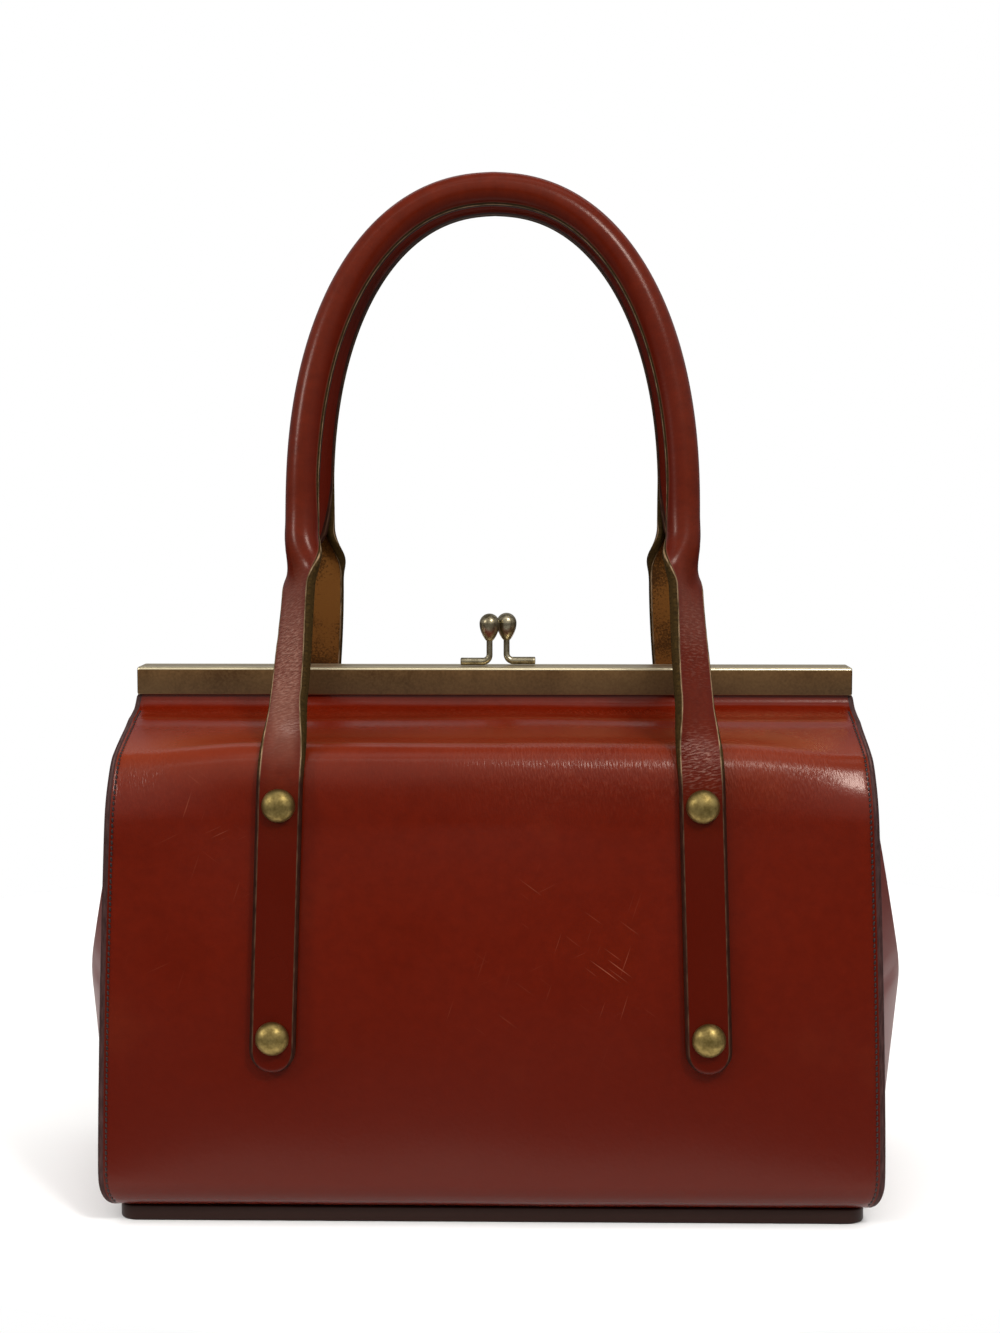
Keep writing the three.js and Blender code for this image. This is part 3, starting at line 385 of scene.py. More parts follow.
def burnished_edge(tree, base, raw, rubbed):
    """A cut leather edge, bevelled, stained and waxed: dark brown and streaked along its length. Where it
    has been handled, the stain is gone from the raw fibres, and the bevels are rubbed to pale lines."""
    place = add(tree, "Attribute", out="Vector", attribute_name="surface")
    wear, edge = (add(tree, "Attribute", out="Fac", attribute_name=name) for name in ("wear", "edge"))
    along = add(tree, "Mapping", {"Vector": place, "Scale": (PER_MM / 0.8, PER_MM / 5, PER_MM / 0.8)})
    streaks = add(tree, "TexNoise", {"Vector": along, "Scale": 1, "Detail": 3})
    fibres = add(tree, "TexNoise", {"Vector": place, "Scale": PER_MM / 0.9, "Detail": 3})
    bare = add(tree, "Math", {0: wear, 1: 1.6}, operation="MULTIPLY", use_clamp=True)
    stained = add(tree, "ValToRGB", {"Fac": streaks}, ramp=shades(base, (0.35, 0.7), (0.75, 1.4)))
    bared = add(tree, "ValToRGB", {"Fac": fibres}, ramp=shades(raw, (0.35, 0.55), (0.7, 1.25)))
    tone = add(tree, "Mix", {0: bare, 6: stained, 7: bared}, 2, data_type="RGBA")
    inwards = add(tree, "Math", {0: edge, 1: PER_MM / 2}, operation="MULTIPLY")
    bevel = ((0.42, BLACK), (0.58, WHITE), (0.7, WHITE), (0.8, BLACK))
    line = add(tree, "ValToRGB", {"Fac": inwards}, ramp=bevel)
    breaks = {"From Min": 0.35, "From Max": 0.62, "To Min": 0.15, "To Max": 0.9}
    worn_away = add(tree, "MapRange", {"Value": streaks, **breaks})
    broken = add(tree, "Math", {0: line, 1: worn_away}, operation="MULTIPLY")
    shown = add(tree, "MapRange", {"Value": bare, "To Min": 0.18, "To Max": 1})
    faint = add(tree, "Math", {0: broken, 1: shown}, operation="MULTIPLY")
    return {
        "Base Color": add(tree, "Mix", {0: faint, 6: tone, 7: rubbed}, 2, data_type="RGBA"),
        "Roughness": add(tree, "MapRange", {"Value": bare, "To Min": 0.5, "To Max": 0.8}),
        "Specular IOR Level": 0.06,
        "Normal": add(tree, "Bump", {"Height": fibres, "Strength": 0.5, "Distance": 0.15 * MM}),
    }


def suede_flesh(tree, base):
    """The flesh side of the strap leather, left unglazed: a brown nap of short fibres with no shine."""
    place = add(tree, "Attribute", out="Vector", attribute_name="surface")
    nap = add(tree, "TexNoise", {"Vector": place, "Scale": PER_MM / 1.0, "Detail": 6, "Roughness": 0.8})
    blotches = add(tree, "TexNoise", {"Vector": place, "Scale": PER_MM / 25, "Detail": 2})
    both = add(tree, "Math", {0: nap, 1: blotches}, operation="ADD")
    nap_shades = shades(base, (0.86, 0.4), (1.0, 0.9), (1.16, 1.35))
    return {
        "Base Color": add(tree, "ValToRGB", {"Fac": both}, ramp=nap_shades),
        "Roughness": 0.92,
        "Specular IOR Level": 0.1,
        "Normal": add(tree, "Bump", {"Height": nap, "Strength": 0.6, "Distance": 0.25 * MM}),
    }


def aged_metal(tree, bright, dark, polish, roughness, patch_mm, brushed_mm):
    """Polished sheet metal that has aged in use: brown patina in clouds, small pits, hairlines from wiping,
    and edges that are rubbed bright, which on the frame's top edges is in part painted highlight."""
    place = add(tree, "TexCoord", out="Object")
    # The rub mark: on the frame's top edges, rubbed brass and in part painted highlight
    rub = add(tree, "Attribute", out="Fac", attribute_name="rub")
    patches = {"Scale": PER_MM / patch_mm, "Detail": 4, "Roughness": 0.6}
    clouds = add(tree, "TexNoise", {"Vector": place, **patches})
    pits = add(tree, "TexNoise", {"Vector": place, "Scale": PER_MM / 0.9, "Detail": 3})
    patina = add(tree, "Math", {0: pits, 1: 0.35, 2: clouds}, operation="MULTIPLY_ADD")
    tone = add(tree, "ValToRGB", {"Fac": patina}, ramp=((0.5, dark), (0.85, bright)))
    dull = {"From Min": 0.45, "From Max": 0.9, "To Min": roughness + 0.14, "To Max": roughness}
    brushing = (PER_MM / 30, PER_MM / brushed_mm, PER_MM / brushed_mm)
    along = add(tree, "Mapping", {"Vector": place, "Scale": brushing})
    hairlines = add(tree, "TexNoise", {"Vector": along, "Scale": 1, "Detail": 2})
    wiped = add(tree, "Bump", {"Height": hairlines, "Strength": 0.15, "Distance": 0.05 * MM})
    pitted = {"Height": pits, "Strength": 0.12, "Distance": 0.05 * MM, "Normal": wiped}
    return {
        "Base Color": add(tree, "Mix", {0: rub, 6: tone, 7: polish}, 2, data_type="RGBA"),
        "Metallic": 1.0,
        "Roughness": add(tree, "MapRange", {"Value": patina, **dull}),
        "Normal": add(tree, "Bump", pitted),
    }


def waxed_thread(tree, base):
    """Linen thread drawn through wax: dark red brown, twisted plies, a dull shine."""
    twist = {"Vector": add(tree, "TexCoord", out="Object"), "Scale": PER_MM / 4, "Distortion": 1}
    plies = add(tree, "TexWave", twist, out="Fac", bands_direction="DIAGONAL")
    return {
        "Base Color": add(tree, "ValToRGB", {"Fac": plies}, ramp=shades(base, (0, 0.5), (1, 1.4))),
        "Roughness": 0.55,
        "Normal": add(tree, "Bump", {"Height": plies, "Strength": 0.4, "Distance": 0.1 * MM}),
    }


def cotton_twill(tree, base, dark):
    """Woven cotton lining: diagonal ribs 1.2 mm apart, coarser than the real twill so that they show."""
    place = add(tree, "Attribute", out="Vector", attribute_name="surface")
    weave = {"Vector": place, "Scale": PER_MM / 6, "Distortion": 0.6, "Detail": 1}
    ribs = add(tree, "TexWave", weave, out="Fac", bands_direction="DIAGONAL")
    slubs = add(tree, "TexNoise", {"Vector": place, "Scale": PER_MM / 7, "Detail": 4})
    both = add(tree, "Math", {0: ribs, 1: 0.4, 2: slubs}, operation="MULTIPLY_ADD")
    return {
        "Base Color": add(tree, "ValToRGB", {"Fac": both}, ramp=((0.4, dark), (0.9, base))),
        "Roughness": 0.9,
        "Sheen Weight": 0.15,
        "Normal": add(tree, "Bump", {"Height": ribs, "Strength": 0.5, "Distance": 0.2 * MM}),
    }


def fibrous(tree, base, fibre_mm):
    """Pressed or twisted fibre, such as grey board or cotton cord: matt, with short pale and dark fibres."""
    stretch = (PER_MM / (6 * fibre_mm), PER_MM / fibre_mm, PER_MM / fibre_mm)
    along = add(tree, "Mapping", {"Vector": add(tree, "TexCoord", out="Object"), "Scale": stretch})
    fibres = add(tree, "TexNoise", {"Vector": along, "Scale": 1, "Detail": 4})
    return {
        "Base Color": add(tree, "ValToRGB", {"Fac": fibres}, ramp=shades(base, (0.3, 0.6), (0.7, 1))),
        "Roughness": 0.9,
        "Normal": add(tree, "Bump", {"Height": fibres, "Strength": 0.4, "Distance": 0.2 * MM}),
    }


def white_paper(tree, base):
    """Uncoated background paper: matt, with a faint tooth."""
    place = add(tree, "TexCoord", out="Object")
    tooth = add(tree, "TexNoise", {"Vector": place, "Scale": PER_MM / 4, "Detail": 2})
    return {
        "Base Color": base,
        "Roughness": 0.85,
        "Specular IOR Level": 0.1,
        "Normal": add(tree, "Bump", {"Height": tooth, "Strength": 0.05, "Distance": 0.1 * MM}),
    }


def finishes(context):
    """The bag's materials, made once, by their names in lower case."""
    colours = context.scene.bag_colours
    tint = SimpleNamespace(**{name: (*getattr(colours, name), 1) for name in BagColours.__annotations__})
    calf = (tint.leather, tint.leather_dark_and_shade, tint.leather_worn_and_lit, tint.scuff)
    strap = (tint.strap, tint.leather_dark_and_shade, tint.strap_dusty, tint.strap_rub)
    strap_edges = (tint.strap_edge, tint.raw_edge, tint.strap_edge_line)
    brass = (tint.brass, tint.brass_dark, tint.brass_polish)
    studs = (tint.stud, tint.stud_dark, tint.brass_polish)
    sheet_look = dict(wrinkle_mm=(0.6, 2.6), wrinkle_depth=0.22, contrast=0.08, dust=0.0)
    strap_look = dict(pebble_mm=1.1, wrinkle_mm=(2.4, 0.65), wrinkle_depth=0.45, contrast=0.28, dust=0.03)
    made = (
        material("Glazed red calf", glazed_leather, *calf, **sheet_look),
        material("Rubbed strap leather", glazed_leather, *strap, **strap_look, gloss=0.18),
        material("Folded gusset calf", glazed_leather, *calf),
        # The base leather's dark colour is in part painted shadow
        material("Dark base leather", glazed_leather, tint.base, tint.base, tint.base, tint.scuff, gloss=0.2),
        material("Painted sheet edge", burnished_edge, *[tint.sheet_edge] * 2, tint.sheet_edge_line),
        material("Burnished strap edge", burnished_edge, *strap_edges),
        material("Suede flesh side", suede_flesh, tint.flesh),
        material("Aged brass", aged_metal, *brass, 0.3, 38, 0.5),
        material("Antique stud brass", aged_metal, *studs, 0.38, 3, 2.0),
        material("Worn nickel plate", aged_metal, tint.nickel, tint.nickel_dark, tint.nickel, 0.24, 4, 2.0),
        material("Waxed linen thread", waxed_thread, tint.thread),
        material("Cotton twill", cotton_twill, tint.cloth, tint.cloth_dark),
        material("Grey board", fibrous, tint.board, 0.4),
        material("Cotton cord", fibrous, tint.cotton, 0.3),
        material("White paper", white_paper, tint.floor),
    )
    return SimpleNamespace(**{each.name.lower().replace(" ", "_"): each for each in made})


# Meshes


def smooth(value, low, high):
    share = np.clip((value - low) / (high - low), 0, 1)
    return share * share * (3 - 2 * share)


def bell(value, middle, spread):
    return np.exp(-(((value - middle) / spread) ** 2))


def distances(points):
    """How far along a line of points each of them is."""
    return np.concatenate([[0], np.cumsum(np.linalg.norm(np.diff(points, axis=0), axis=1))])


def directions(points):
    """The direction of a line of points at each of them."""
    tangents = np.gradient(points, axis=0)
    return tangents / np.linalg.norm(tangents, axis=1)[:, None]


def circle(points):
    around = np.linspace(0, 2 * math.pi, points, endpoint=False)
    return np.stack([np.cos(around), np.sin(around)], 1)


def at_height(loop, height):
    """A loop seen from above, as points at a height."""
    return np.column_stack([loop, np.full(len(loop), height)])


def laid_flat(across, along):
    """Places on a piece's own flat pattern, for the grain of its material."""
    return np.column_stack([across, np.broadcast_to(along, across.shape), np.zeros_like(across)])


def edge_drop(from_edge, radius):
    """How far below its face a strip with rounded edges is, at a distance from its edge."""
    inset = np.clip(from_edge, 0, radius)
    return radius - np.sqrt(np.maximum(0, radius**2 - (radius - inset) ** 2))


def loft(rings, materials=0, capped=True, cap_material=0, fan_caps=False, **attributes):
    """A skin through closed rings of points. materials has one index for each step round a ring.
    A ring of a strip goes along one face and back along the other, so its cap joins the faces."""
    rings = np.asarray(rings, float)
    count, points = rings.shape[:2]
    around = np.arange(points)
    after = (around + 1) % points
    faces, indices = [], []
    column = np.broadcast_to(materials, points)
    for i in range(count - 1):
        low, high = i * points, (i + 1) * points
        faces.extend(zip(low + around, low + after, high + after, high + around))
        indices.extend(column)
    vertices = rings.reshape(-1, 3)
    flat = {name: np.asarray(value, float).reshape(len(vertices), -1) for name, value in attributes.items()}
    for start in (0, (count - 1) * points) if capped else ():
        if fan_caps:
            middle = len(vertices)
            ring = slice(start, start + points)
            vertices = np.vstack([vertices, vertices[ring].mean(0)])
            flat = {name: np.vstack([value, value[ring].mean(0)]) for name, value in flat.items()}
            faces.extend((start + a, start + b, middle) for a, b in zip(around, after))
            indices.extend([cap_material] * points)
        else:
            for k in range(points // 2 - 1):
                faces.append((start + k, start + k + 1, start + points - 2 - k, start + points - 1 - k))
                indices.append(cap_material)
    return SimpleNamespace(vertices=vertices, faces=faces, indices=indices, attributes=flat)


def leather_strip(front, back, face, surface, under=0.0, **marks):
    """A strip of leather from rows of points along its two faces. face has the material of each step across
    the front, surface the place of each point on the flat pattern, and under the depth of the back below it.
    The marks are edge (the distance to it), wear (which also carries painted light and shade), crease and
    scuff for each point, zero where not given."""

    def both(first, second):
        return np.concatenate([np.array(first), np.array(second)[:, ::-1]], 1)

    surface = np.array(surface)
    zero = np.zeros(surface.shape[:2])
    marks = {name: marks.get(name, zero) for name in ("edge", "wear", "crease", "scuff")}
    flesh = np.where(face == EDGE, EDGE, FLESH)
    return loft(
        both(front, back),
        np.concatenate([face, [EDGE], flesh[::-1], [EDGE]]),
        cap_material=EDGE,
        surface=both(surface, surface + (0, 0, under)),
        **{name: both(value, value) for name, value in marks.items()},
    )


def piece(name, parts, materials, sharp=50):
    """One object from lofted parts, smooth apart from edges sharper than an angle in degrees."""
    mesh = bpy.data.meshes.new(name)
    vertices = np.vstack([part.vertices for part in parts])
    faces, indices, start = [], [], 0
    for part in parts:
        faces.extend([tuple(int(v) + start for v in face) for face in part.faces])
        indices.extend(part.indices)
        start += len(part.vertices)
    mesh.from_pydata(vertices.tolist(), [], faces)
    for each in materials:
        mesh.materials.append(each)
    mesh.polygons.foreach_set("material_index", np.asarray(indices, np.int32))
    for key in parts[0].attributes:
        values = np.vstack([part.attributes[key] for part in parts])
        kind, field = ("FLOAT_VECTOR", "vector") if values.shape[1] == 3 else ("FLOAT", "value")
        mesh.attributes.new(key, kind, "POINT").data.foreach_set(field, values.astype(np.float32).ravel())
    sorted_mesh = bmesh.new()
    sorted_mesh.from_mesh(mesh)
    bmesh.ops.recalc_face_normals(sorted_mesh, faces=sorted_mesh.faces)
    sorted_mesh.to_mesh(mesh)
    sorted_mesh.free()
    mesh.shade_smooth()
    mesh.set_sharp_from_angle(angle=math.radians(sharp))
    made = bpy.data.objects.new(name, mesh)
    bpy.context.scene.collection.objects.link(made)
    return made


def turned(parts, half):
    """Parts of the front, left as they are, or turned half round to the rear."""
    if half == "rear":
        for part in parts:
            part.vertices = part.vertices * (-1, -1, 1)
    return parts


def lathe(profile, place, points):
    """A turned shape: radius and height pairs about a matrix's Z axis."""
    ring = circle(points)
    turn, origin = np.array(place.to_3x3()).T, np.array(place.translation)
    rings = [at_height(ring * max(radius, 1e-6), height) @ turn + origin for radius, height in profile]
    return loft(rings, fan_caps=True)


def sweep(path, radii, points):
    """A round rod along a path, with a radius at each point."""
    side = np.array([0.0, 1.0, 0.0])
    ring = circle(points)
    rings = []
    for centre, tangent, radius in zip(path, directions(path), radii):
        first = side - tangent * (side @ tangent)
        first /= np.linalg.norm(first)
        second = np.cross(tangent, first)
        rings.append(centre + radius * (ring[:, :1] * first + ring[:, 1:] * second))
    return loft(rings, fan_caps=True)


# The leather sheets


def walk(out, height, heading, stretches):
    """A path in side view, from (length, turn, step) stretches: out, height, heading and length so far."""
    points = [(out, height, heading, 0.0)]
    so_far = 0.0
    for distance, turn, step in stretches:
        count = max(2, math.ceil(distance / step))
        part = turn / count
        chord = distance / count * (math.sin(part / 2) / (part / 2) if part else 1)
        for _ in range(count):
            out += chord * math.cos(heading + part / 2)
            height += chord * math.sin(heading + part / 2)
            heading += part
            so_far += distance / count
            points.append((out, height, heading, so_far))
    return np.array(points)


def side_view(bag):
    """The outside of a sheet in side view, from its turned-under edge up into the frame."""
    underside = bag.base_panel_thickness + bag.seat_gap
    lean = math.atan2(
        bag.base_half_depth - bag.shoulder_half_depth, bag.shoulder_height - underside - bag.base_edge_radius
    )
    edge_start = bag.base_half_depth - bag.base_edge_radius
    edge_top = underside + bag.base_edge_radius * (1 + math.sin(lean))
    front = (bag.shoulder_height - edge_top) / math.cos(lean)
    base_sweep = math.pi / 2 + lean
    shoulder_sweep = bag.neck_angle - lean
    soft, tight, turn = bag.upper_front_radius, bag.worn_shoulder_radius, bag.upper_front_turn
    inwards = soft * (1 - math.cos(turn)) + tight * (math.cos(turn) - math.cos(shoulder_sweep))
    upwards = soft * math.sin(turn) + tight * (math.sin(shoulder_sweep) - math.sin(turn))
    cut_back = upwards - inwards / math.tan(shoulder_sweep)
    cut_back -= bag.shoulder_radius * math.tan(shoulder_sweep / 2)
    lower = [
        (bag.turn_under_width, 0, 4 * MM),
        (bag.base_edge_radius * base_sweep, base_sweep, 1 * MM),
        (front - cut_back, 0, 2.5 * MM),
        (soft * turn, turn, 0.8 * MM),
        (tight * (shoulder_sweep - turn), shoulder_sweep - turn, 0.6 * MM),
    ]
    start = (edge_start - bag.turn_under_width, underside, 0)
    shoulder_end = walk(*start, lower)[-1]
    channel_out = bag.frame_thickness - bag.frame_wall - bag.seat_gap / 2
    reach = bag.neck_top_radius * (1 - math.cos(bag.neck_angle))
    neck = (shoulder_end[0] - channel_out - reach) / math.sin(bag.neck_angle)
    upper = [
        (neck, 0, 1.2 * MM),
        (bag.neck_top_radius * bag.neck_angle, -bag.neck_angle, 0.8 * MM),
        (bag.frame_insert, 0, 4 * MM),
    ]
    out, height, heading, along = walk(*start, lower + upper).T
    ends = np.cumsum([stretch[0] for stretch in lower + upper])
    front_start, front_end, crest, neck_start, neck_end = ends[1:6]
    frame_bottom = height[-1] - bag.frame_insert
    return SimpleNamespace(
        out=out,
        height=height,
        heading=heading,
        along=along,
        rising=along > front_start * 0.66,
        lean=lean,
        underside=underside,
        front_start=front_start,
        front_end=front_end,
        crest=crest,
        neck_start=neck_start,
        neck_end=neck_end,
        frame_bottom=frame_bottom,
        frame_top=frame_bottom + bag.frame_height,
        hinge=frame_bottom - bag.hinge_drop,
    )


def half_width(bag, side, height):
    """Half the width of a sheet at a height. Its edges bow out a little, and are drawn in round the base."""
    share = (height - side.underside) / (side.frame_bottom - side.underside)
    low = np.clip(1 - (height - side.underside) / (1.5 * bag.base_edge_radius), 0, 1)
    drawn_in = bag.base_draw_in * (1 - np.sqrt(1 - low**2.4))
    bowed = bag.edge_bow * np.clip(4 * share * (1 - share), 0, 1) ** 0.35
    return bag.width_at_base / 2 + (bag.frame_length - bag.width_at_base) / 2 * share - drawn_in + bowed


def out_at(side, height, depth):
    """How far in front of the middle a sheet is at a height, at a depth below its outside."""
    outs = side.out - depth * np.sin(side.heading)
    heights = side.height + depth * np.cos(side.heading)
    return np.interp(height, heights[side.rising], outs[side.rising])


def drape(bag, side, along, across):
    """How far a sheet stands out from its even shape: a soft belly, a shoulder that is full in the middle
    and dips towards the side seams, and a crease across the neck. across runs from -1 to 1."""
    from_middle = np.abs(across)
    up_front = np.clip((along - side.front_start) / (side.front_end - side.front_start), 0, 1)
    belly = bag.belly * np.sin(math.pi * up_front) ** 0.8 * (1 - across**2)
    waves = 0.5 + 0.5 * np.cos(3 * math.pi * across)
    slack = -bag.shoulder_slack * bell(along, side.crest - 8 * MM, 14 * MM) * waves
    crease_at = side.neck_start + 28 * MM + 1.2 * MM * np.sin(5 * across + 1)
    crease = bag.neck_crease * bell(along, crease_at, 3.5 * MM)
    full = bag.shoulder_fullness * bell(along, side.crest + 4 * MM, 13 * MM)
    dip = bag.shoulder_dip * bell(along, side.crest + 1 * MM, 7 * MM)
    pressed = bag.shoulder_rounding * bell(along, side.crest, 14 * MM)
    shoulder = full * (1 - smooth(from_middle, 0.62, 0.97)) - dip * smooth(from_middle, 0.8, 0.96)
    return belly + slack + crease + shoulder - pressed * smooth(from_middle, 0.84, 1.0) ** 1.5


def unevenness(bag, x, along):
    """The slow waves of a sheet, with about 45 mm from one to the next."""
    return bag.unevenness * noise.noise(Vector((x * 22, along * 22, 3.7)))


def below_frame(side, along):
    """1 where a sheet is free, falling to 0 just inside the frame, which presses it flat."""
    return 1 - smooth(along, side.neck_end, side.neck_end + 3 * MM)


def flange_out(bag, side, height):
    """How far in front of the middle a gusset's flange is at a height, behind the dipped edge of a sheet."""
    along = np.interp(height, side.height[side.rising], side.along[side.rising])
    sag = drape(bag, side, along, 1.0) * np.sin(np.interp(along, side.along, side.heading))
    return out_at(side, height, bag.sheet_thickness + bag.seat_gap + bag.gusset_thickness / 2) + sag


def on_sheet(side, along):
    """Out, height and heading of a place on the outside of a sheet."""
    return (np.interp(along, side.along, values) for values in (side.out, side.height, side.heading))


# Where a sheet has points near its edges, in mm from the edge: close together on the rounding and at the seam
SHEET_COLUMNS = (
    0, 0.05, 0.15, 0.3, 0.5, 0.75, 1.05, 1.45, 1.8, 2.1, 2.4, 2.7, 3.0, 3.5, 4.5, 6.5, 9.5, 13.5, 19
)

# Scratched patches of the front, in mm: across, height, spread, and strength from 0 to 1
SCUFFS = (
    (11, 109, 12, 0.9),
    (34, 102, 20, 0.55),
    (46, 84, 14, 0.4),
    (-10, 74, 12, 0.65),
    (-102, 148, 12, 0.45),
    (-90, 136, 12, 0.4),
    (-120, 106, 14, 0.35),
)


def sheet_columns(half):
    """Places across a sheet from its left edge to its right one, close together near the edges."""
    near = np.array(SHEET_COLUMNS) * MM
    left = -half + np.concatenate([near, np.linspace(near[-1], half, 26)[1:-1]])
    return np.concatenate([left, [0.0], -left[::-1]])


def sheet(bag, side):
    """A sheet of leather from under the base, up the front, over the shoulder and into the frame."""
    top, bottom, surface, edge, wear, crease, scuff = ([] for _ in range(7))
    for out, height, heading, along in zip(side.out, side.height, side.heading, side.along):
        half = half_width(bag, side, height)
        x = sheet_columns(half)
        across = x / half
        from_edge = half - np.abs(x)
        away = drape(bag, side, along, across) - bag.seam_groove * bell(from_edge, bag.seam_inset, 0.55 * MM)
        away = away + [unevenness(bag, place, along) for place in x]
        away = away * below_frame(side, along) * smooth(along, 25 * MM, 45 * MM)
        drop = edge_drop(from_edge, bag.edge_rounding)
        for rows, depth in ((top, away - drop), (bottom, away - bag.sheet_thickness + drop)):
            row = [x, -(out + math.sin(heading) * depth), height - math.cos(heading) * depth]
            rows.append(np.column_stack(row))
        surface.append(laid_flat(x, along))
        edge.append(from_edge)
        # Darker towards the bottom of the front: painted shade.
        # Rubbed lighter on the neck and shoulder, in part painted light on the slope that faces up.
        rubbed = bell(along, side.neck_start + 2 * MM, 13 * MM) * (0.6 + 0.4 * across**2)
        wear.append(rubbed - 0.8 * (1 - smooth(along, side.front_start, side.front_end - 25 * MM)))
        wrinkled = smooth(across, -0.2, 0.2) + 0.7 * bell(across, -0.93, 0.08) + 0.25
        pulled = bell(along, side.crest, 13 * MM) * wrinkled * (1 - 0.8 * smooth(across, 0.84, 0.92))
        crease.append(pulled + 0.8 * bell(along, side.neck_end - 3 * MM, 4 * MM))
        patches = (
            strength * bell(np.hypot(x - at * MM, height - up * MM), 0, spread * MM)
            for at, up, spread, strength in SCUFFS
        )
        scuff.append(sum(patches))
    painted = from_edge < bag.edge_band
    face = np.where(painted[:-1] & painted[1:], EDGE, GRAIN)
    return leather_strip(top, bottom, face, surface, edge=edge, wear=wear, crease=crease, scuff=scuff)


def stitches(bag, side):
    """Thread along both side edges of a sheet, each stitch a little slanted in the groove of the seam."""
    parts = []
    ring = circle(6)
    tapered = ((-0.5, 0.2), (-0.42, 0.7), (-0.2, 1.0), (0.2, 1.0), (0.42, 0.7), (0.5, 0.2))
    stitch_length = 0.78 * bag.stitch_pitch
    slant = 0.16
    sunk = 0.2 * MM
    for way in SIDES.values():
        for along in np.arange(side.front_start * 0.8, side.neck_end - 3 * MM, bag.stitch_pitch):
            out, height, heading = on_sheet(side, along)
            half = half_width(bag, side, height)
            x = way * (half - bag.seam_inset)
            away = drape(bag, side, along, x / half) - sunk + unevenness(bag, x, along)
            normal = np.array([0, -math.sin(heading), -math.cos(heading)])
            forward = np.array([way * slant, -math.cos(heading), math.sin(heading)])
            forward /= np.linalg.norm(forward)
            section = ring[:, :1] * np.cross(forward, normal) + ring[:, 1:] * normal
            centre = np.array([x, -out, height]) + normal * away
            rings = [
                centre + forward * stitch_length * place + bag.stitch_radius * size * section
                for place, size in tapered
            ]
            parts.append(loft(rings, fan_caps=True))
    return parts


def neck_fold(side, half):
    """Where the leather turns with its half of the frame: from the hinge line towards the neck's middle."""
    start = Vector((0, 0, side.hinge))
    shoulder_out, shoulder_height, _ = on_sheet(side, side.neck_start)
    line = Vector((0, -shoulder_out, shoulder_height - side.hinge)).normalized()
    across = Vector((0, line.z, -line.y))
    free_out, free_height, _ = on_sheet(side, side.neck_end - 4 * MM)
    reach = across.dot(Vector((0, -free_out, free_height - side.hinge)))
    end = start + across * reach
    if half == "rear":
        end.y = -end.y
    return {"start": start, "end": end}


# The gussets


def bow(share):
    """The bowed line of a gusset, from its flange at 0 to its ridge at 1."""
    return 1.3 * share - 0.3 * share**2


def gusset_ridge(bag, side, height):
    """How far out the middle of a gusset stands at a height."""
    foot = side.underside + bag.sheet_thickness
    nearby = height + np.linspace(-1, 1, 9) * 5 * MM
    rise = np.clip((nearby - bag.gusset_ridge_height) / (side.frame_bottom - bag.gusset_ridge_height), 0, 1)
    fall = np.clip((bag.gusset_ridge_height - nearby) / (bag.gusset_ridge_height - foot), 0, 1)
    above = (bag.gusset_ridge_bulge - bag.gusset_crown_bulge) * rise**1.1
    below = (bag.gusset_ridge_bulge - bag.gusset_foot_bulge) * fall
    return half_width(bag, side, height) + (bag.gusset_ridge_bulge - above - below).mean()


def gusset_wall(bag, side, height, y):
    """How far out the outside of a gusset is at a height and a distance from the middle of the bag."""
    bend = half_width(bag, side, height) - bag.gusset_flange
    ridge = gusset_ridge(bag, side, height)
    rounding = 2.5 * MM
    soft = np.sqrt(np.asarray(y) ** 2 + rounding**2) - rounding
    share = 1 - np.clip(soft / flange_out(bag, side, height), 0, 1)
    crease = -0.7 * MM * bell(height, bag.gusset_ridge_height + 3 * MM, 3 * MM) * np.sin(math.pi * share)
    return bend + (ridge - bend) * bow(share) + crease


def gusset_half(bag, side, way):
    """The front half of a gusset: a flange behind the sheet's edge, a turn, and a wall out to the ridge."""
    thickness = bag.gusset_thickness
    foot = side.underside + bag.sheet_thickness + bag.seat_gap + thickness
    top = side.frame_bottom - bag.gusset_top_drop
    heights = np.concatenate([np.linspace(foot + 3 * MM, 20 * MM, 8), np.linspace(23 * MM, top, 56)])
    turned_under = [(foot, 22 * MM), (foot, 6 * MM), (foot + 0.8 * MM, 1.6 * MM)]
    outside, inside, surface, edge = [], [], [], []
    for height, turned_in in turned_under + [(level, 0.0) for level in heights]:
        level = max(height, foot + 2.5 * MM)
        half = half_width(bag, side, level)
        flange_y = -flange_out(bag, side, level)
        y_wall = flange_y * np.linspace(0.96, 0, 22)
        wall = np.column_stack([gusset_wall(bag, side, level, y_wall) - thickness / 2, y_wall])
        flange_x = np.linspace(half, half - bag.gusset_flange + 1.2 * MM, 5)
        flange = np.column_stack([flange_x, np.full(5, flange_y)])
        line = np.vstack([flange, wall]) - (turned_in, 0)
        tangent = directions(line)
        tangent[-1] = (0, 1)
        normal = np.column_stack([tangent[:, 1], -tangent[:, 0]])
        for rows, away in ((outside, thickness / 2), (inside, -thickness / 2)):
            rows.append(at_height((line + normal * away) * (way, 1), height))
        run = distances(line)
        surface.append(laid_flat(way * (0.3 + run), height))
        edge.append(run)
    return leather_strip(outside, inside, np.full(len(line) - 1, GRAIN), surface, edge=edge)


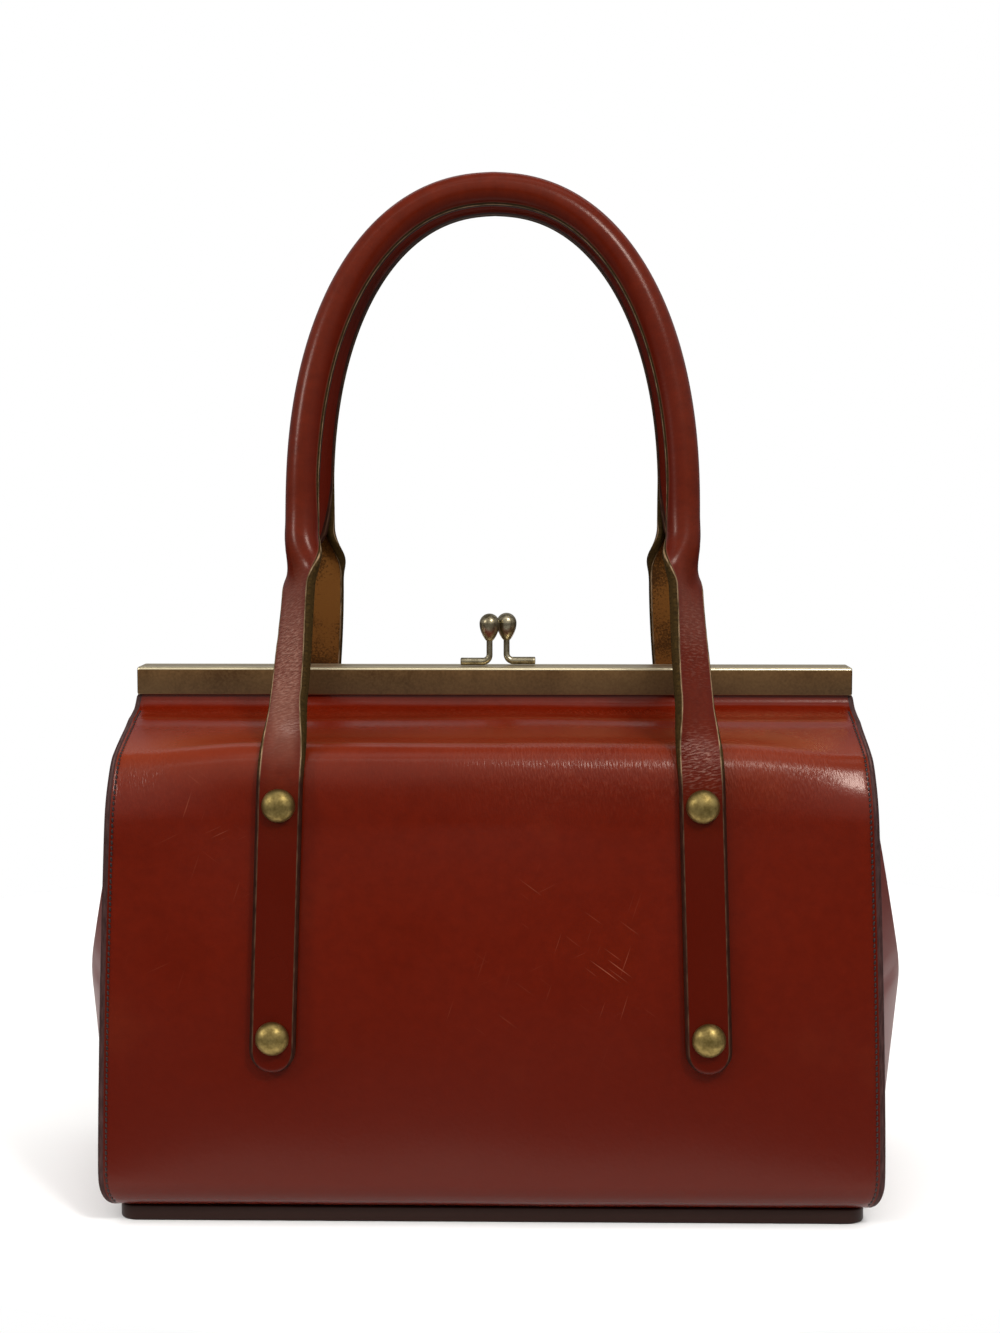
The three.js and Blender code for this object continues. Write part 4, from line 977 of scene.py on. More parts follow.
def gusset_fold(bag, side, way):
    """The slack of a gusset, folded flat inside its rear half: it opens like a fan with the frame."""
    thickness = 0.7 * bag.gusset_thickness
    reach = side.frame_bottom - bag.gusset_top_drop - side.hinge
    radii = np.linspace(1.5 * MM, reach, 16)
    turns = np.radians(np.linspace(-7, 87, 40))
    outside, inside, surface = [], [], []
    for turn in turns:
        y = radii * math.sin(turn)
        height = side.hinge + radii * math.cos(turn)
        x = np.array([gusset_wall(bag, side, *place) for place in zip(height, y)])
        x -= 1.5 * bag.gusset_thickness + 0.4 * MM * math.sin(turn)
        for rows, away in ((outside, 0), (inside, -thickness)):
            rows.append(np.column_stack([way * (x + away), y, height]))
        surface.append(laid_flat(way * (0.5 + y), height))
    clear_of_edges = np.full((len(turns), len(radii)), 20 * MM)
    return leather_strip(outside, inside, np.full(len(radii) - 1, GRAIN), surface, edge=clear_of_edges)


# Inside the bag, and under it


def inner_layer(bag, side, rows, inset, depths, thickness):
    """A layer that follows the inside of a sheet, at a depth below its outside for each of its rows."""
    rings, surface = [], []
    places = zip(side.out[rows], side.height[rows], side.heading[rows], side.along[rows], depths)
    for out, height, heading, along, depth in places:
        half = half_width(bag, side, height) - inset
        x = np.linspace(-half, half, 40)
        away = drape(bag, side, along, x / (half + inset)) * below_frame(side, along)
        outer, inner = (
            np.column_stack([x, -(out + math.sin(heading) * reach), height - math.cos(heading) * reach])
            for reach in (away - depth, away - depth - thickness)
        )
        rings.append(np.concatenate([outer, inner[::-1]]))
        flat = laid_flat(x, along)
        surface.append(np.concatenate([flat, flat[::-1]]))
    return loft(rings, surface=surface)


def neck_lining(bag, side):
    """A strip of cloth inside a sheet, from below the rim of the lining up into the frame."""
    rows = (side.height > side.hinge - 6 * MM) & (side.along > side.front_start)
    over_board = 1 - smooth(side.along[rows], side.front_end - 4 * MM, side.front_end + 5 * MM)
    depths = bag.sheet_thickness + bag.seat_gap + over_board * (bag.stiffener_thickness + bag.seat_gap)
    return inner_layer(bag, side, rows, bag.arm_inset + 2 * bag.seat_gap, depths, bag.lining_thickness)


def stiffener(bag, side):
    """The board behind a sheet, which has bent with it."""
    low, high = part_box("front_stiffener")
    rows = (side.height > low.z) & (side.along > side.front_start) & (side.along < side.front_end - 4 * MM)
    inset = half_width(bag, side, low.z) - high.x
    depths = np.full(rows.sum(), bag.sheet_thickness + bag.seat_gap)
    return inner_layer(bag, side, rows, inset, depths, bag.stiffener_thickness)


def lining_loop(bag, side, height, inset):
    """The lining at a height, seen from above."""
    depth = bag.sheet_thickness + bag.stiffener_thickness + 2 * bag.seat_gap
    front = float(out_at(side, height, depth)) - inset
    corner = half_width(bag, side, height) - bag.gusset_flange - bag.gusset_thickness - bag.seat_gap - inset
    ridge = gusset_ridge(bag, side, height) - bag.gusset_thickness - 2 * bag.seat_gap - inset
    share = np.linspace(0, 1, 9)
    quarter_x = corner + (ridge - corner) * bow(share)
    quarter_y = -front * (1 - share)
    right = np.column_stack([np.r_[quarter_x, quarter_x[-2::-1]], np.r_[quarter_y, -quarter_y[-2::-1]]])
    back = np.linspace(corner, -corner, 34)[1:-1]
    slack = 0.9 * MM * np.sin(back * 95 + height * 40) * smooth(height, 20 * MM, 90 * MM)
    rear = np.column_stack([back, front - np.abs(slack)])
    return np.vstack([right, rear, -right, -rear])


def lining_tub(bag, side):
    """The lining: an open tub of cloth that hangs inside the sheets and the gussets."""
    floor = side.underside + bag.sheet_thickness + bag.base_board_thickness + 2 * bag.seat_gap
    rim = side.hinge - 3 * MM
    heights = np.concatenate([[floor, floor + 3 * MM], np.linspace(18 * MM, rim, 24)])
    inner = bag.lining_thickness
    outside = [(height, 0.0) for height in heights]
    inside = [(max(height, floor + inner), inner) for height in heights[::-1]]
    rings, surface = [], []
    for height, inset in outside + inside:
        loop = lining_loop(bag, side, max(height, floor + 1 * MM), inset)
        rings.append(at_height(loop, height))
        surface.append(laid_flat(distances(loop), height))
    return loft(rings, fan_caps=True, surface=surface)


def base_slab(bag):
    """The leather under the bag: a flat panel with rounded corners and rounded edges."""
    low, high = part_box("base_panel")
    rounding = 0.7 * MM
    margin = 6 * MM
    ways = circle(96)
    half = np.array([high.x + bag.base_spread, high.y])
    rise = ((0, margin), (0, rounding), (0.3 * rounding, 0.3 * rounding), (rounding, 0.0))
    levels = [(low.z + up, inset) for up, inset in rise] + [(high.z - up, inset) for up, inset in rise[::-1]]
    rings = []
    for height, inset in levels:
        reach = max(bag.base_corner_radius - inset, 0.8 * MM)
        rings.append(at_height(np.sign(ways) * (half - inset - reach) + ways * reach, height))
    edge = [np.full(len(ways), inset) for _, inset in levels]
    zero = np.zeros((len(rings), len(ways)))
    return loft(rings, fan_caps=True, surface=rings, edge=edge, wear=zero, crease=zero, scuff=zero)


# The frame and its clasp


def channel_outline(bag, side, inset, cavity):
    """The frame's channel seen from its end, drawn in by an inset. Closed ends have only a fine groove."""
    low, high = side.frame_bottom + inset, side.frame_top - inset
    near = -bag.seat_gap / 2
    far = near - bag.frame_thickness
    lip, tight, soft = 0.35 * MM, 0.5 * MM, bag.frame_rounding
    corners = (
        (far + inset + lip, low + lip, lip, 180),
        (near - inset - lip, low + lip, lip, 270),
        (near - inset - tight, high - tight, tight, 0),
        (far + inset + soft, high - soft, soft, 90),
    )
    arcs = []
    for y, z, radius, start in corners:
        turn = np.radians(np.linspace(start, start + 90, 7))
        arcs.append(np.array([y, z]) + radius * np.column_stack([np.cos(turn), np.sin(turn)]))
    wall = bag.frame_wall
    roof = side.frame_top - wall if cavity else low + 0.05 * MM
    channel = [(far + wall, low), (far + wall, roof), (near - wall, roof), (near - wall, low)]
    return np.vstack([arcs[0], channel, *arcs[1:]])


def frame_bar(bag, side):
    """Half of the frame: a brass channel, open below, with rounded edges and closed ends."""
    # How bright each point of the outline is rubbed: the lower lip a little, and the top edges most, where
    # the bright colour is in part painted highlight.
    rub = np.repeat([0.35, 0.0, 0.0, 0.5, 1.0], [7, 4, 7, 7, 7])
    rub[[0, -1]] = (0.07, 0.0)
    end = bag.frame_length / 2
    rounding, cap = 0.8 * MM, 1.2 * MM
    turns = np.radians(np.linspace(90, 0, 6))
    ends = [(end - rounding * (1 - math.sin(turn)), rounding * (1 - math.cos(turn)), False) for turn in turns]
    ends += [(end - cap, 0.0, False), (end - cap - 0.01 * MM, 0.0, True)]
    stations = [(-x, inset, cavity) for x, inset, cavity in ends]
    stations += [(x, 0.0, True) for x in np.linspace(-end + 3 * MM, end - 3 * MM, 40)]
    rings = []
    for x, inset, cavity in stations + ends[::-1]:
        line = channel_outline(bag, side, inset, cavity)
        rings.append(np.column_stack([np.full(len(line), x), line]))
    return loft(rings, fan_caps=True, rub=np.tile(rub, (len(rings), 1)))


def frame_arm(bag, side, x):
    """A flat arm that hangs from the frame inside the bag, with an eye for the hinge rivet."""
    near = -bag.seat_gap / 2
    radius = bag.arm_eye_radius
    straight = np.linspace(side.frame_top - 2 * MM, side.hinge, 24)
    share = np.clip((side.frame_bottom - straight) / (side.frame_bottom - side.hinge), 0, 1)
    turns = np.radians(np.linspace(0, 88, 14))[1:]
    heights = np.concatenate([straight, side.hinge - radius * np.sin(turns)])
    top_front = near - bag.arm_top_width
    front = np.concatenate([top_front + (-radius - top_front) * share, -radius * np.cos(turns)])
    back = np.concatenate([near + (radius - near) * share, radius * np.cos(turns)])
    rounding = 0.35 * MM
    half = bag.arm_thickness / 2
    rings = []
    for height, low, high in zip(heights, front, back):
        soft = min(rounding, 0.4 * (high - low))
        right = [(half - rounding, low), (half, low + soft), (half, high - soft), (half - rounding, high)]
        left = [(-out, y) for out, y in right[::-1]]
        rings.append([(x + out, y, height) for out, y in left[-2:] + right + left[:-2]])
    return loft(rings, fan_caps=True, rub=np.zeros((len(rings), 8)))


def hinge_rivet(bag, side, way):
    """A rivet through two arms, with a low domed head on each side."""
    inner = bag.frame_length / 2 - bag.arm_inset - bag.seat_gap
    span = 2 * bag.arm_thickness + 3 * bag.seat_gap
    head, lift, shank = bag.hinge_head_radius, bag.hinge_head_height, bag.hinge_rivet_radius
    turns = np.radians(np.linspace(90, 0, 8))
    dome = [(head * math.cos(turn), lift * (0.4 + 0.6 * math.sin(turn))) for turn in turns]
    dome += [(head, 0.0), (shank, 0.0)]
    profile = [(radius, -height) for radius, height in dome]
    profile += [(radius, span + height) for radius, height in dome[::-1]]
    axis = Matrix.Rotation(way * math.pi / 2, 4, "Y")
    axis.translation = (way * inner, 0, side.hinge)
    return lathe(profile, axis, 28)


def clasp_knob(bag, side):
    """A rod that lies on the frame, bends up and swells into a pear-shaped knob."""
    knob_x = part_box("front_clasp_knob")[1].x - bag.clasp_ball_radius
    foot_y, ball_y = -bag.clasp_foot_depth, -bag.clasp_ball_depth
    foot, stem, ball = bag.clasp_foot_radius, bag.clasp_stem_radius, bag.clasp_ball_radius
    seat = side.frame_top + bag.seat_gap + foot
    knob = side.frame_top + bag.clasp_height - ball
    bend = bag.clasp_bend_radius
    foot_end = knob_x - bag.clasp_foot_length
    drop = 1.75 * ball
    stations = []  # x, y, height and radius
    for inset, size in ((0.0, 0.7), (0.06 * MM, 0.84), (0.2 * MM, 0.95), (0.4 * MM, 1.0)):
        stations.append((foot_end + inset, foot_y, seat, foot * size))
    for x in np.linspace(foot_end + 1 * MM, knob_x - bend, 6):
        stations.append((x, foot_y, seat, foot))
    for turn in np.radians(np.linspace(0, 90, 10))[1:]:
        x, height = knob_x - bend + bend * math.sin(turn), seat + bend * (1 - math.cos(turn))
        stations.append((x, foot_y, height, foot + (stem - foot) * turn / (math.pi / 2)))
    for height in np.linspace(seat + bend, knob - drop, 6)[1:]:
        stations.append((knob_x, foot_y, height, stem))
    for share in np.linspace(0, 1, 22)[1:]:
        swell = math.sin(math.pi / 2 * share) ** 0.8
        y = foot_y + (ball_y - foot_y) * share
        stations.append((knob_x, y, knob + drop * (share - 1), stem + (ball - stem) * swell))
    for turn in np.radians(np.linspace(0, 88, 18))[1:]:
        stations.append((knob_x, ball_y, knob + ball * math.sin(turn), ball * math.cos(turn)))
    stations = np.array(stations)
    return sweep(stations[:, :3], stations[:, 3], 32)


# The handles and their studs


LEAN_IN = {"front": 1.6, "rear": 2.4}  # how soon the straps of each handle lean in above their bends
LEAN_BACK = 1.3  # how soon they lean towards the frame
ARCH_POWER = 2.2  # the arch is a superellipse
EARLY_TWIST = 0.75  # share of a strap's twist that it takes just above its bend

# Where the straps have flexed and are rubbed dusty: strength, and place above the bend and spread in mm
LEFT_FLEX, RIGHT_FLEX = ((1, 42, 22),), ((1, 6, 9), (0.4, 50, 14))
LEFT_DUST, RIGHT_DUST = ((1.1, 42, 26),), ((0.5, 58, 18),)
RIGHT_DARKENING = 0.3  # polish that is left on the right straps


def strap_frame(bag, side, way):
    """A strap's own frame on the sheet: across, up the strap and outwards, from its lower stud."""
    rise = Vector((0, math.sin(side.lean), math.cos(side.lean)))
    normal = Vector((0, -math.cos(side.lean), math.sin(side.lean)))
    up = rise * math.cos(bag.strap_lean) + Vector((-way * math.sin(bag.strap_lean), 0, 0))
    lower = bag.shoulder_height - bag.upper_stud_drop - bag.stud_spacing * up.z
    place = Matrix((up.cross(normal), up, normal)).transposed().to_4x4()
    place.translation = (way * bag.lower_stud_x, -float(out_at(side, lower, 0)), lower)
    return place


def strap_lift(bag, side, way, up):
    """How far the sheet's belly lifts a strap at a distance above its lower stud."""
    spot = strap_frame(bag, side, way) @ Vector((0, up, 0))
    front_bottom = np.interp(side.front_start, side.along, side.height)
    along = side.front_start + (spot.z - front_bottom) / math.cos(side.lean)
    along = min(along, side.front_end - 3 * MM)
    return float(drape(bag, side, along, spot.x / half_width(bag, side, spot.z)))


def handle_line(bag, side, half):
    """Stations along a handle from its left tip to its right one: centre, distance above the lower stud,
    width, roll and twist."""
    place = strap_frame(bag, side, SIDES["left"])
    middle = bag.seat_gap + bag.strap_thickness / 2
    tip = -bag.strap_tip_drop
    bend_up = bag.stud_spacing + bag.strap_bend_rise
    round_end = tip + bag.strap_width / 2 * (1 - np.cos(np.radians(np.linspace(6, 90, 12))))
    tab_up = np.concatenate([round_end, np.arange(round_end[-1] + 1 * MM, bend_up, 1 * MM)])
    lifts = [strap_lift(bag, side, SIDES["left"], up) for up in tab_up]
    tab = np.array([place @ Vector((0, up, middle + lift)) for up, lift in zip(tab_up, lifts)])
    bend = np.array(place @ Vector((0, bend_up, middle)))

    # The riser leans in from the bend to the foot of the arch, and the arch goes on to the middle of the bag.
    foot = np.array([-bag.arch_half_width, -bag.arch_foot_depth, bag.shoulder_height + bag.arch_foot_rise])
    share = np.linspace(0, 1, 120)
    leaning = [1 - (1 - share) ** LEAN_IN[half], 1 - (1 - share) ** LEAN_BACK, share]
    riser = bend + (foot - bend) * np.column_stack(leaning)
    turn = np.linspace(0, math.pi / 2, 160)
    rise = np.sin(turn) ** (2 / ARCH_POWER)
    arch = np.column_stack(
        [
            foot[0] * np.maximum(0, np.cos(turn)) ** (2 / ARCH_POWER),
            -bag.arch_foot_depth + (bag.arch_foot_depth - bag.arch_top_depth) * rise**1.2,
            foot[2] + bag.arch_rise * rise,
        ]
    )
    free = np.vstack([riser, arch[1:]])
    run = distances(free)
    even = np.linspace(0, run[-1], round(run[-1] / (1 * MM)))
    free = np.column_stack([np.interp(even, run, free[:, i]) for i in range(3)])
    left = np.vstack([tab, free])
    settled = len(tab) - 8
    for _ in range(30):  # leather can't bend sharply, so the line is smoothed above the studs
        left[settled:-1] = 0.5 * left[settled:-1] + 0.25 * (left[settled - 1 : -2] + left[settled + 1 :])
    line = np.vstack([left, left[-2::-1] * (-1, 1, 1)])
    up = np.concatenate([tab_up, bend_up + even])
    up = np.concatenate([up, up[-2::-1]])

    height = line[:, 2]
    roll_start = foot[2] - bag.roll_drop
    free = up >= bend_up
    rolled = smooth(height, roll_start, roll_start + bag.roll_length) * free
    twist = getattr(bag, f"{half}_twist")
    twisted = EARLY_TWIST * twist * smooth(height, bend[2], bend[2] + 26 * MM)
    twisted += (1 - EARLY_TWIST) * twist * smooth(height, bend[2] + 20 * MM, roll_start)
    twisted += (math.pi / 2 - twist) * smooth(height, roll_start, roll_start + 2 * bag.roll_length)
    flat = bag.strap_width + (bag.strap_neck_width - bag.strap_width) * smooth(height, bend[2], roll_start)
    return SimpleNamespace(
        centre=line,
        up=up,
        width=flat + (bag.roll_width - flat) * rolled,
        roll=np.maximum(math.radians(2), bag.roll_angle * rolled),
        rolled=rolled,
        twist=twisted * free,
        tip=tip,
        bend=bend,
        bend_up=bend_up,
    )


def handle(bag, line):
    """A handle cut from one strip: studded at its ends, twisted over the frame and rolled along the arch."""

    def patches(above, places):
        return sum(strength * bell(above, at * MM, spread * MM) for strength, at, spread in places)

    columns = -np.cos(np.linspace(0, math.pi, 33))
    half_strap = bag.strap_width / 2
    round_centre = line.tip + half_strap
    burnished = half_strap * (1 - np.abs(columns)) < bag.strap_edge_band
    outside, inside, surface, edge, wear, crease = ([] for _ in range(6))
    stations = zip(
        line.centre,
        directions(line.centre),
        distances(line.centre),
        line.up,
        line.width,
        line.roll,
        line.rolled,
        line.twist,
    )
    for centre, along, run, up, width, roll, rolled, twist in stations:
        front = np.array([0.0, -1.0, 0.0])
        front = front - along * (front @ along)
        front /= np.linalg.norm(front)
        normal = front * math.cos(twist) + np.cross(front, along) * math.sin(twist)
        across = np.cross(along, normal)
        below = max(0.0, round_centre - up)
        half = math.sqrt(max(half_strap**2 - below**2, 1e-10)) if below else width / 2
        offset = half * columns
        from_edge = half_strap - np.hypot(below, offset) if below else half - np.abs(offset)
        away = bag.strap_thickness / 2 - edge_drop(from_edge, bag.strap_edge_rounding)

        above = up - line.bend_up
        if centre[0] < 0:
            flex, dusty = patches(above, LEFT_FLEX), patches(above, LEFT_DUST)
        else:
            flex, dusty = patches(above, RIGHT_FLEX), patches(above, RIGHT_DUST) - RIGHT_DARKENING
        seed = 1.3 + np.sign(centre[0])
        spots = [Vector((up * 420 + 60 * place, place * 90, seed)) for place in offset]
        waves = np.array([noise.noise(spot) for spot in spots])
        ripple = bag.strap_ripple * flex * waves * (1 - rolled)

        radius = width / roll
        to_centre = radius * (1 - math.sin(roll / 2) / (roll / 2))
        turn = roll * offset / width
        for rows, depth in ((outside, away + ripple), (inside, -away)):
            reach = radius + depth
            flat = np.column_stack([reach * np.sin(turn), reach * np.cos(turn) - radius + to_centre])
            rows.append(centre + flat[:, :1] * across + flat[:, 1:] * normal)
        surface.append(laid_flat(offset + 2.0, run))
        edge.append(from_edge)
        # Straps are rubbed above the bend and dark with polish low down. A roll is dark towards its seam,
        # which is painted shade, and its front edge is rubbed pale.
        handled = smooth(above, -8 * MM, 10 * MM) * (1 - rolled)
        polish = 0.9 * (1 - smooth(up, 60 * MM, 100 * MM))
        near_seam = np.where(offset < 0, -0.8, -0.7 * smooth(columns, 0.35, 0.9))
        on_roll = rolled * np.where((offset > 0) & burnished, 0.62, near_seam)
        wear.append(np.where(burnished, 0.7, dusty) * handled - polish + on_roll)
        crease.append(np.full(len(offset), flex * (1 - rolled)))
    face = np.where(burnished[:-1] & burnished[1:], EDGE, GRAIN)
    return leather_strip(outside, inside, face, surface, 0.02, edge=edge, wear=wear, crease=crease)


def stud_dome(bag, place):
    """A domed brass head, rolled under at its rim."""
    radius, rim = bag.stud_radius, bag.stud_rim
    turns = np.radians(np.linspace(90, 8, 16))
    profile = [(radius * math.cos(turn), rim + (bag.stud_height - rim) * math.sin(turn)) for turn in turns]
    rolled_under = ((1, 0.7), (0.985, 0.35), (0.94, 0.1), (0.85, 0))
    profile += [(radius * share, height * MM) for share, height in rolled_under]
    return lathe(profile, place, 48)


# The stage


# The camera of the photo: its lens and sensor in mm, and its place in m
CAMERA_LENS, CAMERA_SENSOR = 59.16, 36
CAMERA_AZIMUTH, CAMERA_DISTANCE, CAMERA_HEIGHT = math.radians(1.208), 0.8316, 0.2653
CAMERA_TILT, CAMERA_PAN = math.radians(4.666), math.radians(0.154)

FLOOR_RINGS = (0.02, 0.2, 0.44)  # radii in m
FLOOR_POINTS = 96
FLOOR_BEHIND = 0.27  # the floor reaches further behind the bag

# How bright the studio's walls are at a rise of the eye, from the floor to the ceiling
ROOM = (
    (-0.22, 0.4),
    (-0.18, 0.02),
    (-0.12, 0.02),
    (-0.03, 0.24),
    (0.08, 0.52),
    (0.25, 0.78),
    (0.5, 0.85),
    (0.75, 0.5),
    (0.9, 0.3),
    (1, 0.4),
)

# Place, target and extent of the softboxes in m, and their power in W
SOFTBOXES = {
    "right_softbox": ((0.54, -0.96, 1.18), (0, 0, 0.15), (0.28, 0.28), 10.5),
    "left_softbox": ((-1.18, -0.72, 0.77), (0, 0, 0.15), (0.26, 0.26), 6),
    "front_strip": ((0, -0.75, 1.35), (0, 0, 0.18), (1.8, 0.14), 1.6),
    "overhead": ((0.1, -0.2, 1.5), (0, 0, 0.15), (1.2, 0.35), 1.2),
    "back_strip": ((0.1, 0.85, 1.3), (0, 0, 0.17), (1.6, 0.14), 0.9),
}


def floor_disc():
    """A round floor, with its middle filled by a fan."""
    ring = circle(FLOOR_POINTS)
    ground = loft([at_height(ring * reach + (0, FLOOR_BEHIND), 0) for reach in FLOOR_RINGS], capped=False)
    centre = len(ground.vertices)
    ground.vertices = np.vstack([ground.vertices, (0, FLOOR_BEHIND, 0)])
    ground.faces += [(i, (i + 1) % FLOOR_POINTS, centre) for i in range(FLOOR_POINTS)]
    ground.indices += [0] * FLOOR_POINTS
    return ground


def studio_walls(scene):
    """A grey room that the bag reflects, with a white backdrop behind it."""
    world = bpy.data.worlds.new("Studio")
    scene.world = world
    world.use_nodes = True
    sky = world.node_tree
    axes = add(sky, "SeparateXYZ", {0: add(sky, "TexCoord", out="Generated")}).node.outputs
    level = add(sky, "Math", {0: axes["Z"], 1: 0.5, 2: 0.5}, operation="MULTIPLY_ADD")
    greys = tuple((0.5 + up / 2, (grey, grey, grey, 1)) for up, grey in ROOM)
    walls = add(sky, "ValToRGB", {"Fac": level}, ramp=greys)
    dimmer_behind = {"From Min": -0.3, "From Max": 0.3, "To Min": 1, "To Max": 0.5}
    strength = add(sky, "MapRange", {"Value": axes["Y"], **dimmer_behind})
    surround = sky.nodes["Background"]
    join(sky, surround, {"Color": walls, "Strength": strength})
    backdrop = add(sky, "Background", {"Color": WHITE, "Strength": 1})
    seen = add(sky, "LightPath", out="Is Camera Ray")
    both = add(sky, "MixShader", {0: seen, 1: surround.outputs[0], 2: backdrop})
    join(sky, sky.nodes["World Output"], {"Surface": both})


def placed(scene, name, data, location, rotation):
    """A light or a camera as an object in the scene."""
    made = bpy.data.objects.new(name, data)
    made.location = location
    made.rotation_euler = rotation
    scene.collection.objects.link(made)
    return made


def studio_lights(scene):
    """A wide even light from the ceiling, and softboxes."""
    ceiling = bpy.data.lights.new("ceiling", "SUN")
    ceiling.energy = 2.1
    ceiling.angle = math.radians(90)
    placed(scene, "ceiling", ceiling, (0, -0.7, 2), (math.radians(10), 0, 0)).visible_glossy = False
    for name, (place, target, extent, power) in SOFTBOXES.items():
        light = bpy.data.lights.new(name, "AREA")
        light.shape = "RECTANGLE"
        light.size, light.size_y = extent
        light.energy = power
        aim = (Vector(target) - Vector(place)).to_track_quat("-Z", "Y").to_euler()
        placed(scene, name, light, place, aim)


# Operators


def bench(context):
    """What a step works with: the bag's sizes, its side view and its finishes."""
    bag = context.scene.bag_sizes
    return bag, side_view(bag), finishes(context)


class BAG_OT_sheets(bpy.types.Operator):
    """Front and rear sheets of leather"""

    bl_idname = "bag.sheets"
    bl_label = "Leather sheets"

    def execute(self, context):
        bag, side, finish = bench(context)
        leather = [finish.glazed_red_calf, finish.painted_sheet_edge, finish.suede_flesh_side]
        for half in HALVES:
            made = piece(f"{half}_sheet", turned([sheet(bag, side)], half), leather)
            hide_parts(f"{half}_panel", f"{half}_panel_neck")
            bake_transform(made, "bag_body", f"{half}_frame_half", **neck_fold(side, half))
        return {"FINISHED"}


class BAG_OT_stitching(bpy.types.Operator):
    """Seams along the side edges of both sheets"""

    bl_idname = "bag.stitching"
    bl_label = "Stitching"

    def execute(self, context):
        bag, side, finish = bench(context)
        for half in HALVES:
            made = piece(f"{half}_stitching", turned(stitches(bag, side), half), [finish.waxed_linen_thread])
            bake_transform(made, "bag_body", f"{half}_frame_half", **neck_fold(side, half))
        return {"FINISHED"}


class BAG_OT_gussets(bpy.types.Operator):
    """Left and right gussets, each in two halves that open with the frame"""

    bl_idname = "bag.gussets"
    bl_label = "Gussets"

    def execute(self, context):
        bag, side, finish = bench(context)
        leather = [finish.folded_gusset_calf, finish.painted_sheet_edge, finish.suede_flesh_side]
        for half in HALVES:
            for name, way in SIDES.items():
                parts = [gusset_half(bag, side, way * HALVES[half])]
                if half == "front":
                    parts.append(gusset_fold(bag, side, way))
                made = piece(f"{name}_gusset_{half}", turned(parts, half), leather)
                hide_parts(f"{name}_gusset", f"{name}_gusset_top")
                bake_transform(made, "bag_body", f"{half}_frame_half", **neck_fold(side, half))
        return {"FINISHED"}


class BAG_OT_base(bpy.types.Operator):
    """Leather panel under the bag"""

    bl_idname = "bag.base"
    bl_label = "Base panel"

    def execute(self, context):
        bag, _, finish = bench(context)
        made = piece("base_leather", [base_slab(bag)], [finish.dark_base_leather])
        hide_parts("base_panel")
        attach(made, "bag_body")
        return {"FINISHED"}


class BAG_OT_lining(bpy.types.Operator):
    """Cloth lining, a tub in the body and a strip inside each neck, and the boards behind it"""

    bl_idname = "bag.lining"
    bl_label = "Lining"

    def execute(self, context):
        bag, side, finish = bench(context)
        tub = piece("lining_cloth", [lining_tub(bag, side)], [finish.cotton_twill])
        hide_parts("lining")
        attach(tub, "bag_body")
        for half in HALVES:
            strip = piece(f"{half}_neck_cloth", turned([neck_lining(bag, side)], half), [finish.cotton_twill])
            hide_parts(f"{half}_neck_lining")
            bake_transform(strip, "bag_body", f"{half}_frame_half", **neck_fold(side, half))
            made = piece(f"{half}_board", turned([stiffener(bag, side)], half), [finish.grey_board])
            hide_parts(f"{half}_stiffener")
            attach(made, "bag_body")
        return {"FINISHED"}


class BAG_OT_frame(bpy.types.Operator):
    """Brass frame halves with their arms, and the rivets that hinge them"""

    bl_idname = "bag.frame"
    bl_label = "Frame"

    def execute(self, context):
        bag, side, finish = bench(context)
        inner = bag.frame_length / 2 - bag.arm_inset + bag.arm_thickness / 2
        outer = inner + bag.arm_thickness + bag.seat_gap
        for half, x in (("front", inner), ("rear", outer)):
            parts = [frame_bar(bag, side), frame_arm(bag, side, x), frame_arm(bag, side, -x)]
            made = piece(f"{half}_brass_frame", turned(parts, half), [finish.aged_brass], sharp=35)
            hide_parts(f"{half}_frame")
            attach(made, f"{half}_frame_half")
        for name, way in SIDES.items():
            made = piece(f"hinge_rivet_{name}_turned", [hinge_rivet(bag, side, way)], [finish.aged_brass])
            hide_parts(f"hinge_rivet_{name}")
            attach(made, "front_frame_half")
        return {"FINISHED"}


class BAG_OT_clasp(bpy.types.Operator):
    """Two nickel knobs that snap past each other"""

    bl_idname = "bag.clasp"
    bl_label = "Kiss-lock clasp"

    def execute(self, context):
        bag, side, finish = bench(context)
        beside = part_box("rear_clasp_knob")[0].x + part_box("front_clasp_knob")[1].x
        for half in HALVES:
            parts = turned([clasp_knob(bag, side)], half)
            if half == "rear":
                parts[0].vertices = parts[0].vertices + (beside, 0, 0)
            made = piece(f"{half}_knob", parts, [finish.worn_nickel_plate], sharp=40)
            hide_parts(f"{half}_clasp_knob")
            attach(made, f"{half}_frame_half")
        return {"FINISHED"}


class BAG_OT_handles(bpy.types.Operator):
    """Front and rear handles, each one strip from tip to tip"""

    bl_idname = "bag.handles"
    bl_label = "Handles"

    def execute(self, context):
        bag, side, finish = bench(context)
        leather = [finish.rubbed_strap_leather, finish.burnished_strap_edge, finish.suede_flesh_side]
        up = Vector((0, 0, 1))
        for half in HALVES:
            line = handle_line(bag, side, half)
            made = piece(f"{half}_handle_strip", turned([handle(bag, line)], half), leather, sharp=60)
            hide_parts(f"{half}_handle", f"{half}_strap_end_left", f"{half}_strap_end_right")
            bend = Vector((0, HALVES[half] * line.bend[1], line.bend[2]))
            ends = {"start": bend - up * 4 * MM, "end": bend + up * 8 * MM}
            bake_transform(made, "bag_body", f"{half}_carry_handle", **ends)
        return {"FINISHED"}


